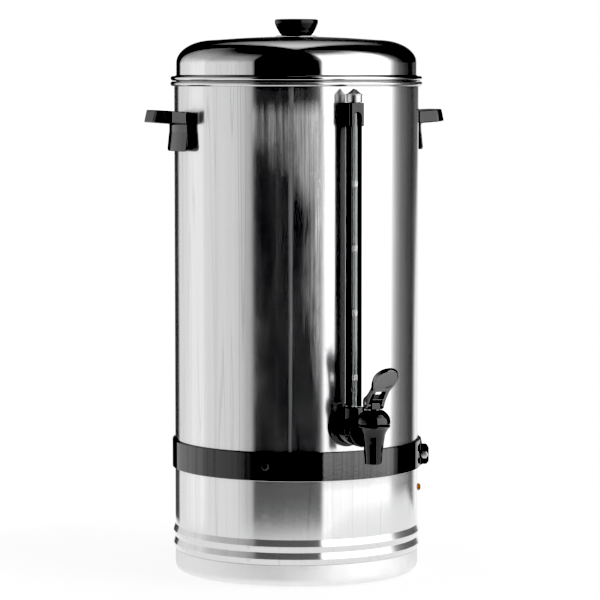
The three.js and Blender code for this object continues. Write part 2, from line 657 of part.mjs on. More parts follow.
function addHeaters(urn) {
  const plate = { inner: 36, outer: 88, low: 117.4, high: FLOOR_Z - 0.4 };
  piece(urn, "heat_plate", ring(plate.inner, plate.outer, plate.low, plate.high, 30), "heater_metal");
  const sweep = arc([0, 0], [62, 62], -75, 255, 12).map(([x, y]) => [x, y, 111.8]);
  const [first, last] = [sweep[0], sweep[sweep.length - 1]];
  const element = smoothPath([
    [first[0] - 3, first[1] - 1, 98], [first[0] - 2, first[1], 106], ...sweep,
    [last[0] + 2, last[1], 106], [last[0] + 3, last[1] - 1, 98],
  ]);
  piece(urn, "heating_element", pipe(element, 4.2, 36, 6), "heater_metal");
  piece(urn, "pump_heater", rod(26, 100, WELL_Z - GAP, 24), "heater_metal");

  const underPlate = plate.low - GAP;
  const sensor = { x: 39.8, y: 23 };
  const thermostat = rod(8.5, underPlate - 9, underPlate).translate(-sensor.x, sensor.y, 0);
  piece(urn, "thermostat", thermostat, "ceramic");
  const cutout = rod(7, underPlate - 7, underPlate).translate(sensor.x, sensor.y, 0);
  piece(urn, "thermal_cutout", cutout, "ceramic");

  piece(urn, "terminal_block", block([-18, 18], [53, 71], [2.7, 18.7]), "ceramic");
  const leads = {
    thermostat_lead: [[-10, 62, 19.1], [-11, 61, 40], [-32, 38, 78], [-sensor.x, sensor.y, 107.2]],
    cutout_lead: [[10, 62, 19.1], [11, 61, 40], [32, 38, 78], [sensor.x, sensor.y, 109.2]],
    inlet_lead: [[0, 98.6, 66], [0, 86, 60], [0, 66, 36], [0, 62, 19.1]],
  };
  for (const [name, route] of Object.entries(leads)) {
    piece(urn, name, pipe(smoothPath(route), 1.5, 14, 6), "wire_cover");
  }
}

// ---------- Controls ----------

function addControls(urn) {
  const lampSide = outwards(urn, LAMP.angle);
  const lamp = turned([
    [0, 104], [LAMP.r, 104], [LAMP.r, 120.4], [LAMP.r + 0.7, 120.4], [LAMP.r + 0.7, 121.2],
    [LAMP.r, 121.5], [LAMP.r - 1, 123], [0, 123],
  ], 16);
  piece(lampSide, "pilot_lamp", alongX(lamp).translate(0, 0, LAMP.z), "amber_lens");

  const switchSide = outwards(urn, SWITCH.angle);
  const { half, pivot, z, off } = SWITCH;
  const face = TANK_R + GAP;
  const housing = cut(
    joined(
      block([100, face + 0.5], [-6.3, 6.3], [z - half, z + half]),
      block([face, face + 1.6], [-7.5, 7.5], [z - half - 1.5, z + half + 1.5]),
    ),
    block([113.9, 125], [-5, 5], [z - 12.8, z + 12.8]),
  );
  piece(switchSide, "switch_housing", housing, "black_plastic");
  const rocker = sideways([
    [-2.5, -3], [1.5, -11.8], [4.2, -11.8], [3.6, 0], [4.2, 11.8], [1.5, 11.8], [-2.5, 3],
  ], -4.6, 4.6);
  const tilted = rocker.rotateY(THREE.MathUtils.degToRad(off)).translate(pivot, 0, z);
  piece(switchSide, "switch_rocker", tilted, "black_plastic");

  const inletSide = outwards(urn, INLET.angle);
  const { wide, high, z: inletZ } = INLET;
  const socket = cut(
    joined(
      block([100, face + 0.5], [-wide, wide], [inletZ - high, inletZ + high]),
      block([face, face + 2], [-wide - 2, wide + 2], [inletZ - high - 2, inletZ + high + 2]),
    ),
    block([106, 125], [-11, 11], [inletZ - 7.5, inletZ + 7.5]),
  );
  const pins = [[0, 3], [-7, -1], [7, -1]].map(([y, dz]) =>
    block([105, 119], [y - 1, y + 1], [inletZ + dz - 2, inletZ + dz + 2]));
  piece(inletSide, "power_inlet", joined(socket, ...pins), "black_plastic");
}

// ---------- The urn ----------

const urn = new THREE.Group();
urn.position.y = AXIS_OFFSET;
urn.position.z = LIFT;
addTank(urn);
addLid(urn);
addPercolator(urn);
addHandles(urn);
addGauge(urn);
addTap(urn);
addBand(urn);
addBase(urn);
addHeaters(urn);
addControls(urn);

const part = new THREE.Group();
part.name = "percolator_urn";
part.add(urn);

export default part;
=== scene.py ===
"""Looks of the coffee percolator urn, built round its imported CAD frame.

Shapes are written in millimetres from the urn's own axis, with heights counted from LIFT above the
standing surface. side(angle) turns them to their place: X then points outwards at that angle round
the urn, Y along the wall and Z up.
"""

import math

import bmesh
import bpy
from mathutils import Matrix, Vector


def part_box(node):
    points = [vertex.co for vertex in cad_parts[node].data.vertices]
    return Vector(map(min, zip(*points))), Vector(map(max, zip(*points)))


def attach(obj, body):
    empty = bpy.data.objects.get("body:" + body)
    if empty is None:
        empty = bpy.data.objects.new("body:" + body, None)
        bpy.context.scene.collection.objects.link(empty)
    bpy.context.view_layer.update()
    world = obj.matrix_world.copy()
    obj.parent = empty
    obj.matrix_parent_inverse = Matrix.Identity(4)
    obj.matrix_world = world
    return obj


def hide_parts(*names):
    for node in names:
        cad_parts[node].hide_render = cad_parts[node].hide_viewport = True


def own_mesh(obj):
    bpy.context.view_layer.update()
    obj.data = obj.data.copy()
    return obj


MM = 0.001
LIFT = 4.5

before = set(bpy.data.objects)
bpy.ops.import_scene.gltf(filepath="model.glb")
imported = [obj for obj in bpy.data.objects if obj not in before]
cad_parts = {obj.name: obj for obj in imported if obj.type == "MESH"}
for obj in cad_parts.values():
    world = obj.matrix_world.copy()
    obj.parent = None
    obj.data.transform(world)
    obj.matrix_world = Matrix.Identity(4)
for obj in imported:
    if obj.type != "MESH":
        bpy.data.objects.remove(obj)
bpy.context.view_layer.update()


# ---- places from the frame

def rotated(degrees, axis="Z"):
    return Matrix.Rotation(math.radians(degrees), 4, axis)


def moved(x=0.0, y=0.0, z=0.0):
    return Matrix.Translation((x, y, z))


def box_mm(node):
    """The lowest and highest corner of a CAD node, in millimetres, with its heights counted from LIFT."""
    return tuple(Vector(corner) / MM - Vector((0, 0, LIFT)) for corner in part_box(node))


def heights(node):
    return tuple(corner.z for corner in box_mm(node))


tank_low, tank_high = box_mm("tank_wall")
AXIS = (tank_low + tank_high) / 2
FRONT = -90                                  # angle of the tap round the urn


def reaches(node):
    """How far the inner and the outer side of a front-mounted node are from the urn's axis."""
    low, high = box_mm(node)
    return AXIS.y - high.y, AXIS.y - low.y


WALL_R = (tank_high.x - tank_low.x) / 2 - 3.7    # tank and base
SHEET = 0.8
RIM_ROUND = 2.4
RIM_Z = tank_high.z - RIM_ROUND              # middle of the rolled rim
BAND_LOW, BAND_HIGH = heights("clamp_band")
TUBE_R = 4.4
GAUGE_X = sum(reaches("gauge_tube")) / 2
TAP_X = sum(reaches("tap_bonnet")) / 2
TAP_Z = 150
PIVOT_Z = sum(heights("lever_pin")) / 2
GRIP_LOW, GRIP_HIGH = 437, 449
GRIP_SCREW_TURN = 8.2                        # degrees from a grip's middle to each of its screws
EAR_ANGLE = -23                              # the band's ears, with the pilot lamp below them
SCREW_ANGLES = (-127, -7, 113)
CAMERA_TURN = math.radians(-113)             # where the camera stands, seen from the urn's axis


def side(angle=0.0, x=0.0, z=0.0, lean=0.0):
    """Millimetres in a frame turned round the urn to metres in the row's frame. The frame can also
    start at x and z, and lean about its Y."""
    urn = moved(AXIS.x * MM, AXIS.y * MM, LIFT * MM) @ Matrix.Scale(MM, 4)
    return urn @ rotated(angle) @ moved(x, 0, z) @ rotated(lean, "Y")


AS_PACKED = moved(z=LIFT * MM) @ Matrix.Scale(MM, 4)
ALONG_X = rotated(90, "Y")                   # takes Z to X
ALONG_Y = rotated(-90, "X")                  # takes Z to Y
ON_EDGE = rotated(90, "X")                   # stands an outline up: its X stays and its Y becomes Z
FACING_X = Matrix(((0, 0, 1, 0), (1, 0, 0, 0), (0, 1, 0, 0), (0, 0, 0, 1)))     # outline in Y and Z


# ---- mesh tools

def added(name, data):
    """A new object in the scene."""
    made = bpy.data.objects.new(name, data)
    bpy.context.scene.collection.objects.link(made)
    return made


def solid(bm, name="work"):
    """Turns a bmesh into an object."""
    bmesh.ops.recalc_face_normals(bm, faces=bm.faces)
    mesh = bpy.data.meshes.new(name)
    bm.to_mesh(mesh)
    bm.free()
    return added(name, mesh)


def taken(obj):
    """Turns an object back into a bmesh."""
    bm = bmesh.new()
    bm.from_mesh(obj.data)
    bpy.data.objects.remove(obj)
    return bm


def dressed(piece, name, place, material, node=None, body="root", slot=None, crease=38):
    """Names, places and shades a piece, which rides on a body and stands for its CAD node."""
    piece.name = name
    piece.data.name = name
    piece.data.transform(place)
    piece.data.materials.clear()
    piece.data.materials.append(material)
    piece.data.shade_smooth()
    piece.data.set_sharp_from_angle(angle=math.radians(crease))
    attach(piece, body)
    if node:
        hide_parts(node)
    return piece


def finished(name, bm, place, material, node=None, **more):
    """A piece made straight from a bmesh."""
    bmesh.ops.remove_doubles(bm, verts=bm.verts, dist=1e-5)
    return dressed(solid(bm), name, place, material, node, **more)


def turned(name, profile, segments, place, material, node=None, **more):
    """A piece turned about the Z of its place."""
    return finished(name, lathe(profile, segments), place, material, node, **more)


def filleted(corners, steps=6):
    """A profile whose corners (x, y, radius) are rounded to their radius."""
    points = []
    count = len(corners)
    for index, corner in enumerate(corners):
        here = Vector(corner[:2])
        radius = corner[2] if len(corner) > 2 else 0
        before = Vector(corners[index - 1][:2]) - here
        after = Vector(corners[(index + 1) % count][:2]) - here
        if not radius or index in (0, count - 1):
            points.append(here)
            continue
        half = before.angle(after) / 2
        reach = min(radius / math.tan(half), 0.49 * before.length, 0.49 * after.length)
        start = here + before.normalized() * reach
        end = here + after.normalized() * reach
        for step in range(steps + 1):
            t = step / steps
            points.append((1 - t) ** 2 * start + 2 * t * (1 - t) * here + t ** 2 * end)
    return points


def polar(radius, angle):
    return radius * math.cos(angle), radius * math.sin(angle)


def arc(centre, radii, start, end, steps):
    """Points of a circular or elliptical arc, angles in degrees."""
    angles = [math.radians(start + (end - start) * step / steps) for step in range(steps + 1)]
    return [(centre[0] + radii[0] * math.cos(a), centre[1] + radii[1] * math.sin(a)) for a in angles]


def mirrored(half):
    """An outline from its half with y above 0."""
    return half + [(x, -y) for x, y in reversed(half)]


def solid_rod(radius, low, high, edge=0.0):
    return filleted([(0, low), (radius, low, edge), (radius, high, edge), (0, high)], 4)


def hexagon(across_flats):
    radius = across_flats / math.sqrt(3)
    return arc((0, 0), (radius, radius), 0, 300, 5)


def lathe(profile, segments=128, matrix=Matrix(), bm=None):
    """Turns a profile of (radius, height) about Z. A profile that starts off the axis closes on itself."""
    bm = bm or bmesh.new()
    turns = [2 * math.pi * k / segments for k in range(segments)]
    rows = []
    for radius, height in profile:
        if radius < 1e-6:
            rows.append([bm.verts.new(matrix @ Vector((0, 0, height)))] * segments)
            continue
        rows.append([bm.verts.new(matrix @ Vector((*polar(radius, a), height))) for a in turns])
    if profile[0][0] > 1e-6:
        rows.append(rows[0])
    for low, high in zip(rows, rows[1:]):
        for k in range(segments):
            after = (k + 1) % segments
            corners = list(dict.fromkeys([low[k], low[after], high[after], high[k]]))
            if len(corners) > 2:
                bm.faces.new(corners)
    return bm


def loft(rows, bm=None):
    """A solid through rings of points."""
    bm = bm or bmesh.new()
    rows = [[bm.verts.new(point) for point in row] for row in rows]
    count = len(rows[0])
    bm.faces.new(list(reversed(rows[0])))
    bm.faces.new(rows[-1])
    for low, high in zip(rows, rows[1:]):
        for k in range(count):
            bm.faces.new([low[k], low[(k + 1) % count], high[(k + 1) % count], high[k]])
    return bm


def prism(outline, low, high, matrix=Matrix(), bm=None):
    """An outline in X and Y between two heights."""
    return loft([[matrix @ Vector((x, y, z)) for x, y in outline] for z in (low, high)], bm)


def cuboid(x, y, z, matrix=Matrix(), bm=None):
    return prism([(x[0], y[0]), (x[1], y[0]), (x[1], y[1]), (x[0], y[1])], z[0], z[1], matrix, bm)


def sweep(path, section):
    """Carries a closed section along a path. path holds frames (origin, across, up), and
    section(index) gives the ring's points (across, up) at each of them."""
    return loft([[origin + across * u + up * v for u, v in section(index)]
                 for index, (origin, across, up) in enumerate(path)])


def wire(points, radius, sides=12):
    """A round tube along points, with flat ends."""
    points = [Vector(p) for p in points]
    frames = []
    normal = None
    for index, point in enumerate(points):
        ahead = points[min(index + 1, len(points) - 1)] - points[max(index - 1, 0)]
        ahead.normalize()
        if normal is None:
            normal = ahead.orthogonal().normalized()
        normal = (normal - ahead * normal.dot(ahead)).normalized()
        frames.append((point, normal, ahead.cross(normal)))
    ring = arc((0, 0), (radius, radius), 0, 360 - 360 / sides, sides - 1)
    return sweep(frames, lambda index: ring)


def smooth_route(points, steps=10):
    """A Catmull-Rom curve through points."""
    points = [Vector(p) for p in points]
    points = [2 * points[0] - points[1]] + points + [2 * points[-1] - points[-2]]
    route = []
    for a, b, c, d in zip(points, points[1:], points[2:], points[3:]):
        for step in range(steps):
            t = step / steps
            route.append(0.5 * (2 * b + (c - a) * t + (2 * a - 5 * b + 4 * c - d) * t ** 2
                                + (3 * b - a - 3 * c + d) * t ** 3))
    return route + [points[-2]]


def evaluated_mesh(obj):
    bpy.context.view_layer.update()
    evaluated = obj.evaluated_get(bpy.context.evaluated_depsgraph_get())
    return bpy.data.meshes.new_from_object(evaluated)


def applied(obj, kind, **settings):
    """Adds one modifier, applies it and leaves its result in the object's mesh."""
    modifier = obj.modifiers.new(kind.lower(), kind)
    for key, value in settings.items():
        setattr(modifier, key, value)
    mesh = evaluated_mesh(obj)
    obj.modifiers.clear()
    old = obj.data
    obj.data = mesh
    bpy.data.meshes.remove(old)
    return obj


def cut(obj, *tools, operation="DIFFERENCE"):
    """Cuts or joins an object with bmeshes built in its own millimetres."""
    for tool in tools:
        helper = solid(tool)
        applied(obj, "BOOLEAN", operation=operation, object=helper, solver="EXACT")
        bpy.data.objects.remove(helper)
    return obj


def moulded(name, bm, cuts, voxel, passes, place, material, node, body="root"):
    """A plastic moulding: solids flow together in a fine remesh, hollows are cut, and every edge is
    softened by smoothing. Everything is given in the frame of place."""
    work = applied(solid(bm), "REMESH", mode="VOXEL", voxel_size=voxel)
    if cuts:
        applied(cut(work, *cuts), "REMESH", mode="VOXEL", voxel_size=voxel)
    applied(work, "SMOOTH", factor=0.5, iterations=passes)
    applied(work, "DECIMATE", ratio=0.35)
    return dressed(work, name, place, material, node, body, crease=60)


def bevelled(name, bm, width, place, material, node=None, cuts=(), body="root"):
    """A solid with every sharp edge rounded to width millimetres."""
    work = cut(solid(bm), *cuts)
    applied(work, "BEVEL", width=width, segments=3, limit_method="ANGLE",
            angle_limit=math.radians(32), harden_normals=False)
    return dressed(work, name, place, material, node, body, crease=40)


# ---- materials

class Nodes:
    """A small helper that adds and links shader nodes."""

    def __init__(self, tree):
        self.tree = tree
        tree.nodes.clear()

    def add(self, kind, inputs=None, **settings):
        node = self.tree.nodes.new("ShaderNode" + kind)
        for key, value in settings.items():
            setattr(node, key, value)
        for key, value in (inputs or {}).items():
            if isinstance(value, bpy.types.NodeSocket):
                self.tree.links.new(value, node.inputs[key])
            else:
                node.inputs[key].default_value = value
        return node

    def math(self, operation, *values, clamp=False):
        inputs = dict(enumerate(values))
        return self.add("Math", inputs, operation=operation, use_clamp=clamp).outputs[0]

    def plus(self, a, b, clamp=False):
        return self.math("ADD", a, b, clamp=clamp)

    def minus(self, a, b, clamp=False):
        return self.math("SUBTRACT", a, b, clamp=clamp)

    def times(self, product, *factors):
        for factor in factors:
            product = self.math("MULTIPLY", product, factor)
        return product

    def ramp(self, value, stops):
        node = self.add("ValToRGB", {0: value})
        elements = node.color_ramp.elements
        while len(elements) < len(stops):
            elements.new(0.5)
        for element, (position, level) in zip(elements, stops):
            element.position = position
            colour = level if isinstance(level, tuple) else (level, level, level)
            element.color = (*colour, 1)
        return node.outputs[0]

    def noise(self, vector, scale, detail=2.0, roughness=0.5, distortion=0.0):
        inputs = {"Vector": vector, "Scale": scale, "Detail": detail, "Roughness": roughness,
                  "Distortion": distortion}
        return self.add("TexNoise", inputs).outputs[0]

    def bump(self, height, distance, normal=None):
        inputs = {"Height": height, "Distance": distance}
        if normal is not None:
            inputs["Normal"] = normal
        return self.add("Bump", inputs).outputs[0]

    def place(self):
        return self.add("TexCoord").outputs["Object"]

    def from_axis(self):
        """The shaded point's X, Y and Z from the urn's axis, in metres."""
        x, y, z = self.add("SeparateXYZ", {0: self.place()}).outputs
        return x, self.minus(y, AXIS.y * MM), z

    def wall_noise(self, along, up, *settings, **more):
        """Noise on the unrolled wall, stretched along it or upwards where along or up is under 1."""
        x, y, z = self.from_axis()
        square = self.plus(self.times(x, x), self.times(y, y))
        spot = {0: self.times(self.math("ARCTAN2", y, x), WALL_R * MM * along),
                1: self.math("SQRT", square), 2: self.times(z, up)}
        return self.noise(self.add("CombineXYZ", spot).outputs[0], *settings, **more)

    def surface(self, normal, inputs):
        """The Principled shader and the output, with constants set on the shader's own sockets."""
        shader = self.add("BsdfPrincipled", {**inputs, "Normal": normal})
        self.add("OutputMaterial", {"Surface": shader.outputs[0]})


def material(name):
    made = bpy.data.materials.new(name)
    made.use_nodes = True
    return made, Nodes(made.node_tree)


def grey(level):
    return (level, level, level * 1.01, 1)


def sheet_steel(name, tone, rough, haze, dents_and_crease_shade, brush, metallic=1.0, wiped=0.0):
    """Rolled and polished steel sheet: slow dents that bend reflections, fine grain round the wall,
    thin upright creases that are only painted shade (darker lines in the colour, with no bump), and hazy
    patches. wiped adds the dull stripe down the tank's front."""
    made, n = material(name)
    patches = n.ramp(n.wall_noise(1, 1, 21, 5.0, 0.62), [(0.52, 0.0), (0.74, 1.0)])
    scratches = n.ramp(n.wall_noise(1, 0.03, 700, 3.0, 0.6), [(0.60, 0.0), (0.72, 1.0)])
    grain = n.wall_noise(0.03, 1, 5200, 2.0, 0.6)
    fine = n.ramp(grain, [(0.46, 0.0), (0.60, 1.0)])
    cloud = n.times(patches, haze)
    worn = n.plus(cloud, n.times(scratches, 0.05))
    roughness = n.plus(n.plus(rough, worn), n.times(fine, brush), clamp=True)
    mirror = metallic
    if wiped:
        dull = n.times(wiped_stripe(n), wiped)
        roughness = n.plus(roughness, n.times(dull, 0.2), clamp=True)
        mirror = n.minus(metallic, dull, clamp=True)
    bows = n.bump(n.wall_noise(1, 0.12, 9, 1.0, 0.4), 0.0006 * dents_and_crease_shade)
    dents = n.bump(n.wall_noise(1, 0.22, 26, 2.0, 0.45), 0.00016 * dents_and_crease_shade, bows)
    # painted shade: thin upright crease lines that only darken the colour, with no bump to make them
    painted_crease_shade = n.ramp(n.wall_noise(1, 0.018, 44, 2.0, 0.4), [
        (0.475, 0.0), (0.483, 1.0), (0.491, 0.0), (0.56, 0.0), (0.566, 0.7), (0.572, 0.0)])
    # the colour darkens in the hazy patches and, as painted shade, along the crease lines
    marks = n.plus(cloud, n.times(painted_crease_shade, dents_and_crease_shade), clamp=True)
    colour = n.add("Mix", {0: marks, 6: grey(tone), 7: grey(tone * 0.82)}, data_type="RGBA").outputs[2]
    tangent = n.add("Tangent", direction_type="RADIAL", axis="Z").outputs[0]
    n.surface(n.bump(grain, 0.000004, dents), {
        "Base Color": colour, "Metallic": mirror, "Roughness": roughness, "Anisotropic": 0.5,
        "Anisotropic Rotation": 0.25, "Tangent": tangent})
    return made


def wiped_stripe(n):
    """Dull wiped metal on the tank's front: all across near the top, then only beside the gauge,
    fading downwards, with thin upright scratches."""
    x, y, z = n.from_axis()
    turn = n.math("ARCTAN2", y, x)
    aside = n.plus(n.math("DIVIDE", n.minus(turn, CAMERA_TURN), math.radians(60)), 0.5)
    up = n.math("DIVIDE", z, RIM_Z * MM)
    smears = n.wall_noise(1, 0.14, 60, 6.0, 0.66, distortion=0.9)
    cloud = n.ramp(smears, [(0.36, 0.08), (0.50, 0.55), (0.64, 1.0)])
    streaks = n.ramp(n.wall_noise(1, 0.012, 420, 4.0, 0.7), [(0.36, 0.4), (0.62, 1.0)])
    beside_gauge = n.times(
        n.ramp(aside, [(0.50, 0.0), (0.56, 0.3), (0.62, 0.5), (0.68, 1.0), (0.74, 0.0)]),
        n.ramp(up, [(0.32, 0.0), (0.42, 0.25), (0.55, 0.6), (0.80, 1.0), (0.93, 1.0), (0.97, 0.2)]))
    wisps = n.times(n.minus(n.wall_noise(1, 0.5, 30, 4.0, 0.6), 0.5), 0.16)
    border = n.plus(n.plus(up, n.times(aside, aside, 0.32)), wisps)
    across = n.ramp(aside, [(0.13, 0.0), (0.17, 0.5), (0.40, 0.55), (0.52, 0.65), (0.60, 0.9),
                            (0.68, 1.0), (0.74, 0.0)])
    top = n.times(across, n.ramp(up, [(0.945, 1.0), (0.985, 0.05)]),
                  n.ramp(border, [(0.83, 0.0), (0.93, 0.62), (1.0, 0.75)]),
                  n.plus(0.55, n.times(cloud, 0.45)), streaks)
    scratches = n.ramp(n.wall_noise(1, 0.004, 170, 3.0, 0.55), [(0.62, 0.0), (0.71, 0.14)])
    shine = n.ramp(smears, [(0.36, 0.06), (0.64, 0.08)])
    dull = n.math("MAXIMUM", n.times(beside_gauge, cloud, streaks), top)
    return n.math("MAXIMUM", dull, n.plus(shine, scratches))


def plain_metal(name, tone, rough, grain_size=900.0, bump=0.00001):
    made, n = material(name)
    place = n.place()
    patches = n.noise(place, 60, 3.0)
    n.surface(n.bump(n.noise(place, grain_size, 3.0), bump), {
        "Base Color": n.ramp(patches, [(0.3, tone * 0.92), (0.7, tone)]), "Metallic": 1.0,
        "Roughness": n.plus(rough, n.times(patches, rough * 0.8), clamp=True)})
    return made


def moulding(name, tone, rough, ior=1.9, orange_peel=0.00003, dust=0.5):
    """Glossy moulded phenolic: slight orange peel, faint scuffs and a breath of dust."""
    made, n = material(name)
    place = n.place()
    marks = n.ramp(n.noise(place, 90, 6.0, 0.7), [(0.5, 0.0), (0.75, 1.0)])
    specks = n.times(marks, n.noise(place, 2600, 2.0))
    n.surface(n.bump(n.noise(place, 420, 2.0), orange_peel), {
        "Base Color": n.ramp(specks, [(0.25, tone), (0.75, tone + 0.02 * dust)]), "IOR": ior,
        "Roughness": n.plus(rough, n.times(marks, 0.10 * dust), clamp=True)})
    return made


def grainy(name, dark, light, rough, size, detail, bump, stops=(0.3, 0.7)):
    """A dull surface with a fine grain between two colours."""
    made, n = material(name)
    grain = n.noise(n.place(), size, detail)
    tint = n.ramp(grain, list(zip(stops, (dark, light))))
    n.surface(n.bump(grain, bump), {"Base Color": tint, "Roughness": rough})
    return made


def coloured(name, colour, rough, size=500.0):
    return grainy(name, tuple(0.75 * c for c in colour), colour, rough, size, 4.0, 0.00003)


def clear(name, colour, ior, rough=0.02):
    """Glass or clear plastic with a faint flow of waves."""
    made, n = material(name)
    n.surface(n.bump(n.noise(n.place(), 140, 1.0), 0.00002), {
        "Base Color": colour, "Roughness": rough, "IOR": ior, "Transmission Weight": 1.0})
    return made


TANK_STEEL = sheet_steel("tank_steel", 0.66, 0.12, 0.06, 1.0, 0.03, wiped=1.2)
LID_STEEL = sheet_steel("lid_steel", 0.66, 0.06, 0.05, 0.25, 0.05, metallic=0.96)
BASE_STEEL = sheet_steel("base_steel", 0.70, 0.10, 0.06, 0.6, 0.05, metallic=0.84)
PAN_STEEL = plain_metal("pan_steel", 0.90, 0.42, 700, 0.00003)
INNER_STEEL = plain_metal("inner_steel", 0.60, 0.24)
CHROME = plain_metal("chrome_plate", 0.74, 0.05, 300, 0.000004)
SATIN_CHROME = plain_metal("satin_chrome", 0.70, 0.26, 700)
ZINC = plain_metal("dull_zinc", 0.16, 0.5)
BLACK = moulding("black_phenolic", 0.008, 0.09, ior=1.75, dust=0.4)
LEVER_BLACK = moulding("black_nylon", 0.010, 0.12, ior=2.5, dust=0.3)
BAND_BLACK = moulding("black_enamel", 0.004, 0.03, orange_peel=0.00001, dust=0.3)
SATIN_BLACK = moulding("satin_phenolic", 0.010, 0.24, ior=1.55, dust=0.2)
RUBBER = grainy("black_rubber", 0.018, 0.036, 0.75, 1500, 3.0, 0.00004, (0.3, 0.8))
GLASS = clear("gauge_glass", (0.96, 0.98, 0.98, 1), 2.2)
AMBER = clear("amber_plastic", (0.55, 0.19, 0.04, 1), 1.5, 0.08)
HEATER = plain_metal("heater_alloy", 0.36, 0.45, 400, 0.00005)
CERAMIC = coloured("white_ceramic", (0.72, 0.69, 0.62), 0.6)
WIRE = coloured("silicone_wire", (0.42, 0.10, 0.04), 0.5)
PRINT = coloured("white_print", (0.9, 0.9, 0.9), 0.4, 1500)


# ---- lid

def pan_screw(name, head, thick, shank, length, place, node, metal=CHROME, body="root"):
    """A pan head with a cross recess below z = 0, and its shank above."""
    profile = [*arc((0, -0.1 * thick), (head, 0.9 * thick), -90, -8, 8), (head, 0), (shank, 0),
               (shank, length - 0.6), (shank - 0.6, length), (0, length)]
    blades = [cuboid((-0.55 * head, 0.55 * head), (-0.13 * head, 0.13 * head),
                     (-thick - 1, -0.45 * thick), rotated(turn)) for turn in (0, 90)]
    return dressed(cut(solid(lathe(profile, 40)), *blades), name, place, metal, node, body)


def build_lid():
    lid_low, top = heights("lid_shell")
    skirt_r = WALL_R - 2
    corner_r, corner_z = 82, 496
    wide, high = skirt_r - corner_r, 22.5
    bead = RIM_ROUND - 0.1
    bead_low = RIM_Z + RIM_ROUND + 0.6

    def dome(radius):
        return top - (top - corner_z - high) * (radius / corner_r) ** 2

    flat = [corner_r * k / 10 for k in range(9, 0, -1)]
    outer = [
        (skirt_r, lid_low), (skirt_r, bead_low - 0.4),
        *arc((skirt_r + 3.2, bead_low + bead), (bead + 0.1, bead), -128, 128, 22),
        (skirt_r, bead_low + 2 * bead + 1.0),
        *arc((corner_r, corner_z), (wide, high), 0, 90, 32),
        *[(r, dome(r)) for r in flat], (2.3, dome(2.3)),
    ]
    inner = [
        (2.3, dome(2.3) - SHEET), *[(r, dome(r) - SHEET) for r in reversed(flat)],
        *arc((corner_r, corner_z), (wide - SHEET, high - SHEET), 90, 0, 32),
        (skirt_r - SHEET, lid_low),
    ]
    turned("lid_dome", outer + inner, 224, side(), LID_STEEL, "lid_shell", body="lid")

    low, high = heights("knob_washer")
    rosette = filleted([(2.4, low), (20.7, low, 0.2), (20.7, low + 0.3, 0.2), (18.5, high, 0.6),
                        (2.4, high)])
    turned("knob_rosette", rosette, 96, side(), CHROME, "knob_washer", body="lid")

    low, high = heights("lid_knob")
    knob = filleted([
        (0, low), (14.4, low, 0.6), (16.4, low + 2.4, 3), (19.2, low + 7.2, 8), (21.1, low + 11.6, 4),
        (21.0, high - 0.2, 1.3), (18.0, high, 2), (12, high - 0.35, 3), (0, high - 0.5),
    ], 8)
    turned("turned_knob", knob, 128, side(), SATIN_BLACK, "lid_knob", body="lid", crease=50)
    low, high = heights("knob_screw")
    head = 2.4
    pan_screw("knob_fixing", 4, head, 2, high - low - head, side(z=low + head), "knob_screw", body="lid")


# ---- tank and percolator set

def build_tank():
    inner = WALL_R - SHEET
    low = tank_low.z
    profile = [
        (inner, low), (WALL_R, low), *[(WALL_R, low + (RIM_Z - 2.2 - low) * k / 24) for k in range(1, 25)],
        *arc((WALL_R + 1.3, RIM_Z), (RIM_ROUND, RIM_ROUND), -118, 128, 22), (inner, RIM_Z + 1.2),
    ]
    turned("tank_drum", profile, 256, side(), TANK_STEEL, "tank_wall")
    weld = [(Vector((WALL_R + 0.05, 0, z)), Vector((0, 1, 0)), Vector((1, 0, 0)))
            for z in (BAND_HIGH + 0.5, RIM_Z - 2.5)]
    finished("tank_weld", sweep(weld, lambda index: arc((0, -0.1), (1.1, 0.22), 0, 345, 23)),
             side(84), TANK_STEEL)

    well_low = heights("tank_floor")[0]
    low = well_low + 12
    edge, well = inner - 0.3, 32.5
    dish = filleted([
        (0, well_low), (well, well_low, 3), (well, low, 2), (edge, low, 4), (edge, low + 9, 0.3),
        (edge - SHEET, low + 9, 0.3), (edge - SHEET, low + SHEET, 3.2), (well - SHEET, low + SHEET, 2.8),
        (well - SHEET, well_low + SHEET, 2.2), (0, well_low + SHEET),
    ])
    turned("tank_bottom", dish, 160, side(), INNER_STEEL, "tank_floor")


def perforated(inner, outer, z, hole, rings):
    """A thin round plate with rings of round holes, each ring given as (radius, count)."""
    punch = bmesh.new()
    for radius, count in rings:
        for k in range(count):
            turn = 2 * math.pi * k / count
            lathe([(0, z - 1), (hole, z - 1), (hole, z + 2), (0, z + 2)], 10,
                  moved(*polar(radius, turn)), punch)
    plate = lathe([(inner, z), (outer, z), (outer, z + SHEET), (inner, z + SHEET)], 160)
    return taken(cut(solid(plate), punch))


